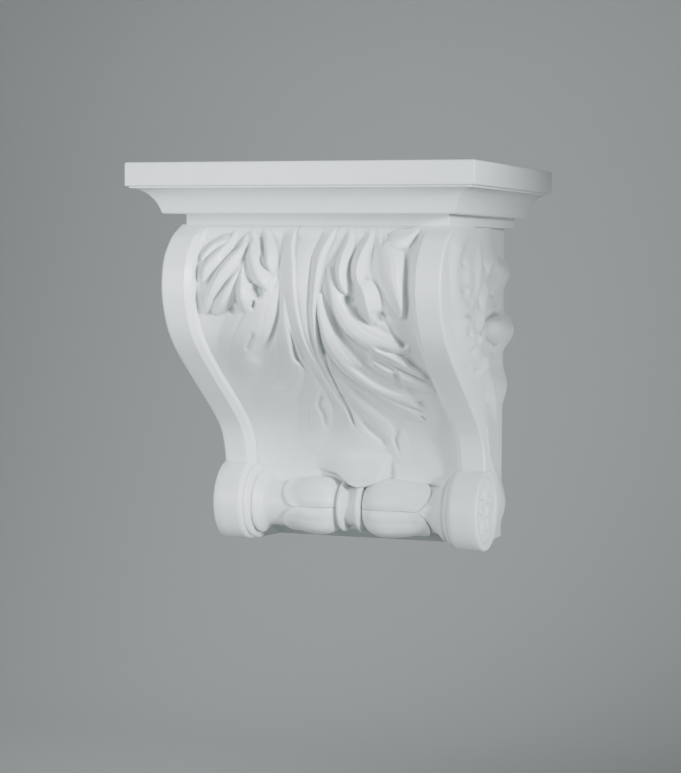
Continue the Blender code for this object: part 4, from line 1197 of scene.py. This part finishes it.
class MakeBody(bpy.types.Operator):
    """Makes the S-shaped body with its raised bands and borders, with sunk places for the carving"""

    bl_idname = "corbel.make_body"
    bl_label = "Body"

    def execute(self, context):
        sizes = context.scene.corbel_body
        half, inner, bevel = sizes.half / MM, (sizes.half - sizes.band) / MM, sizes.bevel / MM
        ground = sizes.side / MM
        panel = np.linspace(-1, 1, 9) * (inner - 1.5)
        band = np.concatenate([
            inner + np.array([-1.1, -0.6, -0.25, 0.0, 0.3, 0.5 * bevel, bevel - 0.3, bevel, bevel + 0.4]),
            np.linspace(inner + bevel + 2, half - EDGE_ROUND - 2, 4),
            half - EDGE_ROUND + EDGE_ROUND * np.array([0, 0.25, 0.45, 0.65, 0.82, 0.93, 1.0]),
        ])
        across = np.concatenate([band[::-1], panel[::-1], -band])
        rows = [BODY_TOP, 214.0, 212.0, NECK_LEVEL]
        for top, bottom, step in ((211.2, 36.0, 1.0), (34.0, 15.5, 2.0), (15.0, -0.5, 1.0)):
            rows += list(np.arange(top, bottom, -step))
        rings = []
        for z in rows:
            front = band_front(across, np.full_like(across, z), sizes, deeper=BEHIND)
            corner = front[0]
            edge = min(float(curve(BORDER_LINE, z)), corner - 5.0)
            sunk = np.linspace(NECK_BACK_GAP if z > NECK_LEVEL else 0.0, edge, 8)
            border = edge + np.array([0.25, 0.5, 0.8, 1.1, 1.5, 2.0, 2.6])
            depth = np.concatenate([sunk, border, [corner - 1.2]])
            rise = ease((depth - edge) / 2.0) * ease((z - 14.0) / 22.0)
            under = ground if 60 < z < 200 else ground - BEHIND
            side = under + (half - under) * rise
            if z > NECK_LEVEL:
                side = np.minimum(side, half - NECK_SIDE_STEP)
            within = ease((RECESS_REACH - np.hypot(depth - AXIS_DEPTH, z - DISC_RADIUS)) / 1.5)
            side = side - within * np.maximum(side - (half - RECESS_SINK), 0.0)
            limit = side[-1]
            side[-1] = limit - 0.05
            right = [(s, -d, z) for s, d in zip(side, depth)]
            middle = [(x * limit / half, -d, z) for x, d in zip(across, front)]
            left = [(-s, -d, z) for s, d in zip(side[::-1], depth[::-1])]
            rings.append(right + middle + left)
        # Painted shadow under the roll, carried by the hollow attribute.
        shade = [self.painted_roll_shadow(*point) for ring in rings for point in ring]
        finished("body", lofted(rings), primer(), 40.0, shade)
        return {"FINISHED"}

    @staticmethod
    def painted_roll_shadow(x, y, z):
        """How much painted shadow darkens the primer under the roll, from 0 to 1."""
        return float(ease((13.0 - z) / 7.0) * (abs(x) < CORE_HALF) * (y < -30.0))


# The carved pieces: the heights between which they run, how far they lap over the raised edges, and where their
# flat backs lie inside the body
LEAF_RANGE = (213.0, 36.0)
LEAF_LAP = 1.2
LEAF_EDGE = 2.5  # the leaf keeps to the sunk panel's level this near its own sides
LEAF_BACK = 60.0
SCROLL_RANGE = (212.6, 0.4)
SCROLL_SPAN = (212.0, 150.0)  # height and depth by which their grid's rows and columns are counted
SCROLL_START = 0.4
SCROLL_LAP = 1.6
SCROLL_BACK = 70.0


class CarveLeaf(bpy.types.Operator):
    """Carves the acanthus leaf with its ribs, eyes and hanging tongue on the front panel"""

    bl_idname = "corbel.carve_leaf"
    bl_label = "Acanthus leaf"

    def execute(self, context):
        body, sizes = context.scene.corbel_body, context.scene.corbel_carving
        step = sizes.leaf_step / MM
        top, bottom = LEAF_RANGE
        reach = (body.half - body.band) / MM + LEAF_LAP
        columns, rows = int(2 * reach / step), int((top - bottom) / step)
        x, z = np.meshgrid(np.linspace(-reach, reach, columns), np.linspace(top, bottom, rows))
        relief = smoothed(leaf_relief(x, z, sizes), 1)
        depth = band_front(x, z, body, carved=relief)
        low = core_share(z)
        plain = band_line(z) + under_neck(z) * (-body.panel / MM + relief)
        plain = plain * (1 - low) + (CORE_FRONT + np.maximum(relief - TONGUE_SINK, 0)) * low
        plain = np.where(z > NECK_LEVEL, np.minimum(plain, NECK_FRONT - NECK_FRONT_GAP), plain)
        depth = np.where(np.abs(x) > reach - LEAF_EDGE, plain, depth)
        front = np.stack([x * MM, -depth * MM, z * MM + LOW.z], 2)
        points, faces = relief_block(front, lambda p: (p[0], -LEAF_BACK * MM, p[2]))
        # Painted shade darkens the primer in the leaf's hollows.
        shade = painted_crease_shade(relief, 24, 2.6).ravel()
        shade = np.concatenate([shade, np.full(len(points) - len(shade), 0.5)])
        finished("acanthus_leaf", block_mesh(points, faces), primer(), 80.0, shade)
        return {"FINISHED"}


class CarveSides(bpy.types.Operator):
    """Carves the scrolls on both sides"""

    bl_idname = "corbel.carve_sides"
    bl_label = "Side scrolls"

    def execute(self, context):
        body, sizes = context.scene.corbel_body, context.scene.corbel_carving
        step = sizes.side_step / MM
        rows, columns = (int(span / step) for span in SCROLL_SPAN)
        z = np.linspace(*SCROLL_RANGE, rows)[:, None] * np.ones((1, columns))
        limit = curve(BORDER_LINE, z) + SCROLL_LAP
        p = SCROLL_START + (limit - SCROLL_START) * np.linspace(0, 1, columns)[None, :]
        away = ease((p - WALL_BAND[0]) / WALL_BAND[1])
        relief, cut = side_relief(p, z, WALL_SHARE + (sizes.share - WALL_SHARE) * away)
        rise = WALL_RISE + (sizes.swell / MM - WALL_RISE) * away * ease((z - 30.0) / 30.0)
        fade = ease((NECK_LEVEL - 2.8 - z) / 8.0)
        level = smoothed(smoothed(rise + relief * fade, 40) - 1.5 * cut, 6)
        floor, soft = CUT_FLOOR
        level = np.where(level < floor, floor - soft * (1 - np.exp((level - floor) / soft)), level)
        out = body.side / MM + np.minimum(level, HIGHEST_SCROLL)
        # Painted shade darkens the primer in the scrolls' hollows.
        shade = painted_crease_shade(level, 30, 2.4).ravel()
        for name, way in (("right_scrolls", 1), ("left_scrolls", -1)):
            front = np.stack([way * out * MM, -p * MM, z * MM + LOW.z], 2)
            points, faces = relief_block(front, lambda q: (way * SCROLL_BACK * MM, q[1], q[2]))
            tones = np.concatenate([shade, np.full(len(points) - len(shade), 0.5)])
            finished(name, block_mesh(points, faces), primer(), 80.0, tones)
        return {"FINISHED"}


class TurnRoll(bpy.types.Operator):
    """Turns the roll with its end discs, flares and collar"""

    bl_idname = "corbel.turn_roll"
    bl_label = "Turned roll"

    def execute(self, context):
        sizes = context.scene.corbel_roll
        line = [(-x, r) for x, r in ROLL_LINE[::-1]] + ROLL_LINE[1:]
        centre, bud = sizes.radius, sizes.bud_height
        stations = []
        for x, r in line:
            share = min(max((abs(x) - BUDS_END) / (DISCS_START - BUDS_END), 0.0), 1.0)
            stations.append((x * MM, r * MM, bud + (centre - bud) * share + LOW.z))
        mesh = grown("roll", line_mesh("roll_profile", stations), turning_tree(),
                     {"Sides": sizes.sides, "Axis Depth": sizes.axis_depth, "Material": primer()})
        finished("turned_roll", mesh, primer(), 50.0)
        return {"FINISHED"}


def bud_leaf(way, spread):
    """One leaf of a bud in millimetres, with the roll's axis along X: a bent blade with a rounded tip, a midrib
    and rolled edges. The left bud's leaves are shorter."""
    shoulder = BUD_SHOULDERS[way]
    across, along = 33, 45
    outer, inner = [], []
    for i in range(along):
        s = i / (along - 1)
        curl = max(s - 0.78, 0.0) / 0.22
        for j in range(across):
            u = 2 * j / (across - 1) - 1
            tip = shoulder + BUD_TIP * max(math.cos(u * math.pi / 2), 0.0) ** 0.6
            x = BUD_START + (tip - BUD_START) * s
            t = (x - BUD_START) / (shoulder + 1.0)
            swell = math.sin(math.pi * min(max(t, 0.0), 1.0) ** 0.62)
            rim = abs(u) ** 4
            radius = BUD_RADIUS + BUD_SWELL * swell + BUD_RISE * float(ease((x - shoulder + 19.0) / 22.0))
            radius -= BUD_ROLLED * rim * max(swell, 0.15)
            radius += BUD_MIDRIB * math.exp(-((u / 0.16) ** 2)) * (1 - s) * min(1.0, s * 6)
            radius += BUD_CURL * curl ** 1.5 * (1 - 0.5 * rim)
            radius -= BUD_VEIN * math.exp(-(((abs(u) - 0.45) / 0.12) ** 2)) * math.sin(math.pi * s)
            for side, r in ((outer, radius), (inner, radius - BUD_THICKNESS + 1.3 * curl)):
                side.append((way * x, -r * math.cos(u * spread), r * math.sin(u * spread)))
    return grid_blade(outer, inner, along, across)


def rosette_petal(way):
    """One petal of the rosette in millimetres: a heart-shaped dome with a sunk middle, on the roll's end."""
    across, along = 25, 21
    outer, inner = [], []
    for i in range(along):
        s = i / (along - 1)
        width = PETAL_HALF_WIDTH * math.sin(math.pi * (0.10 + 0.80 * s) ** 0.9) ** 0.7
        swell = math.sin(math.pi * min(0.12 + 0.88 * s, 1.0)) ** 0.6
        for j in range(across):
            u = 2 * j / (across - 1) - 1
            notch = PETAL_NOTCH * (1 - abs(u)) ** 3 * max(s - 0.8, 0) / 0.2
            radial = PETAL_START + PETAL_LENGTH * s * (1 - 0.10 * u * u) - notch
            dome = PETAL_DOME * math.sqrt(max(1 - u * u, 0.0)) * swell
            dome -= PETAL_HOLLOW * math.exp(-((u / 0.3) ** 2)) * math.sin(math.pi * s)
            outer.append((way * (ROSETTE_FACE + dome), -u * width, radial))
            inner.append((way * (ROSETTE_FACE - 1.0), -u * width, radial))
    return grid_blade(outer, inner, along, across)


def grid_blade(outer, inner, rows, columns):
    """A closed blade between two grids of points, in millimetres."""
    mesh = bmesh.new()
    top = [mesh.verts.new(Vector(p) * MM) for p in outer]
    low = [mesh.verts.new(Vector(p) * MM) for p in inner]
    for r in range(rows - 1):
        for c in range(columns - 1):
            a, d = r * columns + c, (r + 1) * columns + c
            mesh.faces.new((top[a], top[a + 1], top[d + 1], top[d]))
            mesh.faces.new((low[d], low[d + 1], low[a + 1], low[a]))
    ring = [r * columns + c for r, c in rim_of(rows, columns)]
    for k, here in enumerate(ring):
        after = ring[(k + 1) % len(ring)]
        mesh.faces.new((top[after], top[here], low[here], low[after]))
    bmesh.ops.recalc_face_normals(mesh, faces=mesh.faces)
    data = bpy.data.meshes.new("blade")
    mesh.to_mesh(data)
    mesh.free()
    return data


def ringed(name, blade, group, count, start, height):
    """Finishes the piece that the blade makes when it is repeated round the roll's axis."""
    sizes = bpy.context.scene.corbel_roll
    mesh = grown(name, blade, group, {
        "Count": count, "Start": start, "Material": primer(),
        "Centre": (0.0, -sizes.axis_depth, height + LOW.z),
    })
    finished(name, mesh, primer(), 50.0)


class MakeBuds(bpy.types.Operator):
    """Wraps the two buds of the roll in leaves"""

    bl_idname = "corbel.make_buds"
    bl_label = "Leafy buds"

    def execute(self, context):
        sizes = context.scene.corbel_roll
        group = ring_tree()
        half = math.pi / sizes.leaves
        for name, way in (("right_bud", 1), ("left_bud", -1)):
            ringed(name, bud_leaf(way, half * LEAF_FILL), group, sizes.leaves, half, sizes.bud_height)
        return {"FINISHED"}


class MakeRosettes(bpy.types.Operator):
    """Sets a rosette on each end of the roll"""

    bl_idname = "corbel.make_rosettes"
    bl_label = "Rosettes"

    def execute(self, context):
        sizes = context.scene.corbel_roll
        group = ring_tree()
        for name, way in (("right_rosette", 1), ("left_rosette", -1)):
            ringed(name, rosette_petal(way), group, sizes.petals, 0.0, sizes.radius)
        return {"FINISHED"}


# The backdrop, in metres
FLOOR_START = -9.0
TURN_START = 0.9
TURN_RADIUS = 0.9
BACKDROP_TOP = 6.0
BACKDROP_HALF = 12.0


def sweep(settings):
    """The pale floor that turns up into a backdrop in one curve."""
    mesh = bmesh.new()
    floor = LOW.z - settings.drop
    line = [(FLOOR_START, floor), (TURN_START, floor)]
    for a in np.linspace(0.08, math.pi / 2, 20):
        line.append((TURN_START + TURN_RADIUS * math.sin(a), floor + TURN_RADIUS * (1 - math.cos(a))))
    line.append((TURN_START + TURN_RADIUS, BACKDROP_TOP))
    rows = [[mesh.verts.new((x, y, z)) for x in (-BACKDROP_HALF, BACKDROP_HALF)] for y, z in line]
    for a, b in zip(rows[:-1], rows[1:]):
        mesh.faces.new((a[0], a[1], b[1], b[0]))
    data = bpy.data.meshes.new("backdrop")
    for face in mesh.faces:
        face.smooth = True
    mesh.to_mesh(data)
    mesh.free()
    paper = bpy.data.materials.new("backdrop_paper")
    paper.use_nodes = True
    shader = paper.node_tree.nodes["Principled BSDF"]
    shader.inputs["Base Color"].default_value = (*settings.floor, 1)
    shader.inputs["Roughness"].default_value = 0.9
    data.materials.append(paper)
    made = bpy.data.objects.new("backdrop", data)
    bpy.context.scene.collection.objects.link(made)


# The middle of the corbel in metres, and the cool white of the lights
MIDDLE = (0.0, -0.08, 0.0)
LIGHT_COLOUR = (0.92, 1.0, 1.01)


def area_light(name, place, target, size, power, spread=180.0):
    """A soft light that the camera doesn't see; two sizes make it a rectangle."""
    data = bpy.data.lights.new(name, "AREA")
    if isinstance(size, tuple):
        data.shape = "RECTANGLE"
        data.size, data.size_y = size
    else:
        data.shape = "DISK"
        data.size = size
    data.energy = power
    data.color = LIGHT_COLOUR
    data.spread = math.radians(spread)
    made = bpy.data.objects.new(name, data)
    made.location = place
    made.rotation_euler = (Vector(target) - Vector(place)).to_track_quat("-Z", "Y").to_euler()
    made.visible_camera = False
    bpy.context.scene.collection.objects.link(made)


def around(heading, height, distance=1.0):
    """A place round the corbel: degrees to the right of the front, degrees up, and metres away."""
    a, b = math.radians(heading), math.radians(height)
    level = distance * math.cos(b)
    return level * math.sin(a), MIDDLE[1] - level * math.cos(a), distance * math.sin(b)


# Camera fitted to the photograph's straight edges
HEADING, TILT, ROLL = 0.33807, 0.0683, 0.00701  # in radians
DISTANCE = 1337.22981
FOCAL, SHIFT_X, SHIFT_Y, FRAME_WIDTH = 2038.11431, 7.69394, 5.73033, 681  # in pixels
AIM_X, AIM_Z, AIM_DEPTH = 2.37689, 103.25486, 95.0  # the point that it is centred on


def camera():
    """A camera at the photograph's viewing angle."""
    look = Vector((-math.sin(HEADING) * math.cos(TILT), math.cos(HEADING) * math.cos(TILT), -math.sin(TILT)))
    right = Vector((math.cos(HEADING), math.sin(HEADING), 0))
    up = right.cross(look)
    c, s = math.cos(ROLL), math.sin(ROLL)
    right, up = c * right + s * up, c * up - s * right
    place = Vector((AIM_X, -AIM_DEPTH, AIM_Z)) - look * DISTANCE
    data = bpy.data.cameras.new("view_camera")
    data.sensor_fit = "HORIZONTAL"
    data.sensor_width = 36.0
    data.lens = FOCAL / FRAME_WIDTH * 36.0
    data.shift_x = -SHIFT_X / FRAME_WIDTH
    data.shift_y = SHIFT_Y / FRAME_WIDTH
    data.clip_end = 50.0
    made = bpy.data.objects.new("view_camera", data)
    turn = Matrix((right, up, -look)).transposed().to_4x4()
    made.matrix_world = Matrix.Translation(place * MM + Vector((0, 0, LOW.z))) @ turn
    bpy.context.scene.collection.objects.link(made)
    bpy.context.scene.camera = made


class SetStage(bpy.types.Operator):
    """Sets the pale floor, the soft lights and the camera"""

    bl_idname = "corbel.set_stage"
    bl_label = "Stage"

    def execute(self, context):
        settings = context.scene.corbel_studio
        sweep(settings)
        area_light("key", around(58, 13, 1.7), (0.0, -0.55, 0.03), (0.22, 0.32), settings.key, 40.0)
        area_light("front", around(-24, 4, 0.9), MIDDLE, 0.5, settings.front)
        area_light("kick", (0.36, -0.12, -0.16), (0.09, -0.04, -0.07), 0.1, settings.kick, 70.0)
        area_light("back", (-0.5, 0.35, 0.06), (-0.62, 1.8, -0.1), 1.0, settings.back, 120.0)
        world = bpy.data.worlds.new("room")
        world.use_nodes = True
        world.node_tree.nodes["Background"].inputs["Color"].default_value = (0.97, 1.0, 1.0, 1)
        world.node_tree.nodes["Background"].inputs["Strength"].default_value = settings.room
        context.scene.world = world
        camera()
        return {"FINISHED"}


PIECES = (MakeCrown, MakeBody, CarveLeaf, CarveSides, TurnRoll, MakeBuds, MakeRosettes, SetStage)
SETTINGS = (
    ("corbel_crown", CrownSizes), ("corbel_body", BodySizes), ("corbel_carving", CarvingSizes),
    ("corbel_roll", RollSizes), ("corbel_finish", FinishColours), ("corbel_studio", StudioSettings),
)


class CorbelPanel(bpy.types.Panel):
    """The corbel's settings and steps"""

    bl_idname = "VIEW3D_PT_corbel"
    bl_label = "Corbel"
    bl_space_type = "VIEW_3D"
    bl_region_type = "UI"
    bl_category = "Corbel"

    def draw(self, context):
        for name, kind in SETTINGS:
            box = self.layout.box()
            box.label(text=kind.__doc__)
            for field in kind.__annotations__:
                box.prop(getattr(context.scene, name), field)
        for piece in PIECES:
            self.layout.operator(piece.bl_idname)


def register():
    for name, kind in SETTINGS:
        bpy.utils.register_class(kind)
        setattr(bpy.types.Scene, name, PointerProperty(type=kind))
    for kind in (*PIECES, CorbelPanel):
        bpy.utils.register_class(kind)


def unregister():
    for kind in (CorbelPanel, *reversed(PIECES)):
        bpy.utils.unregister_class(kind)
    for name, kind in reversed(SETTINGS):
        delattr(bpy.types.Scene, name)
        bpy.utils.unregister_class(kind)


def main():
    register()
    for found in list(bpy.data.objects):
        if found.name in ("Cube", "Light", "Camera"):
            bpy.data.objects.remove(found)
    for piece in PIECES:
        group, name = piece.bl_idname.split(".")
        getattr(getattr(bpy.ops, group), name)()


if __name__ == "__main__":
    main()
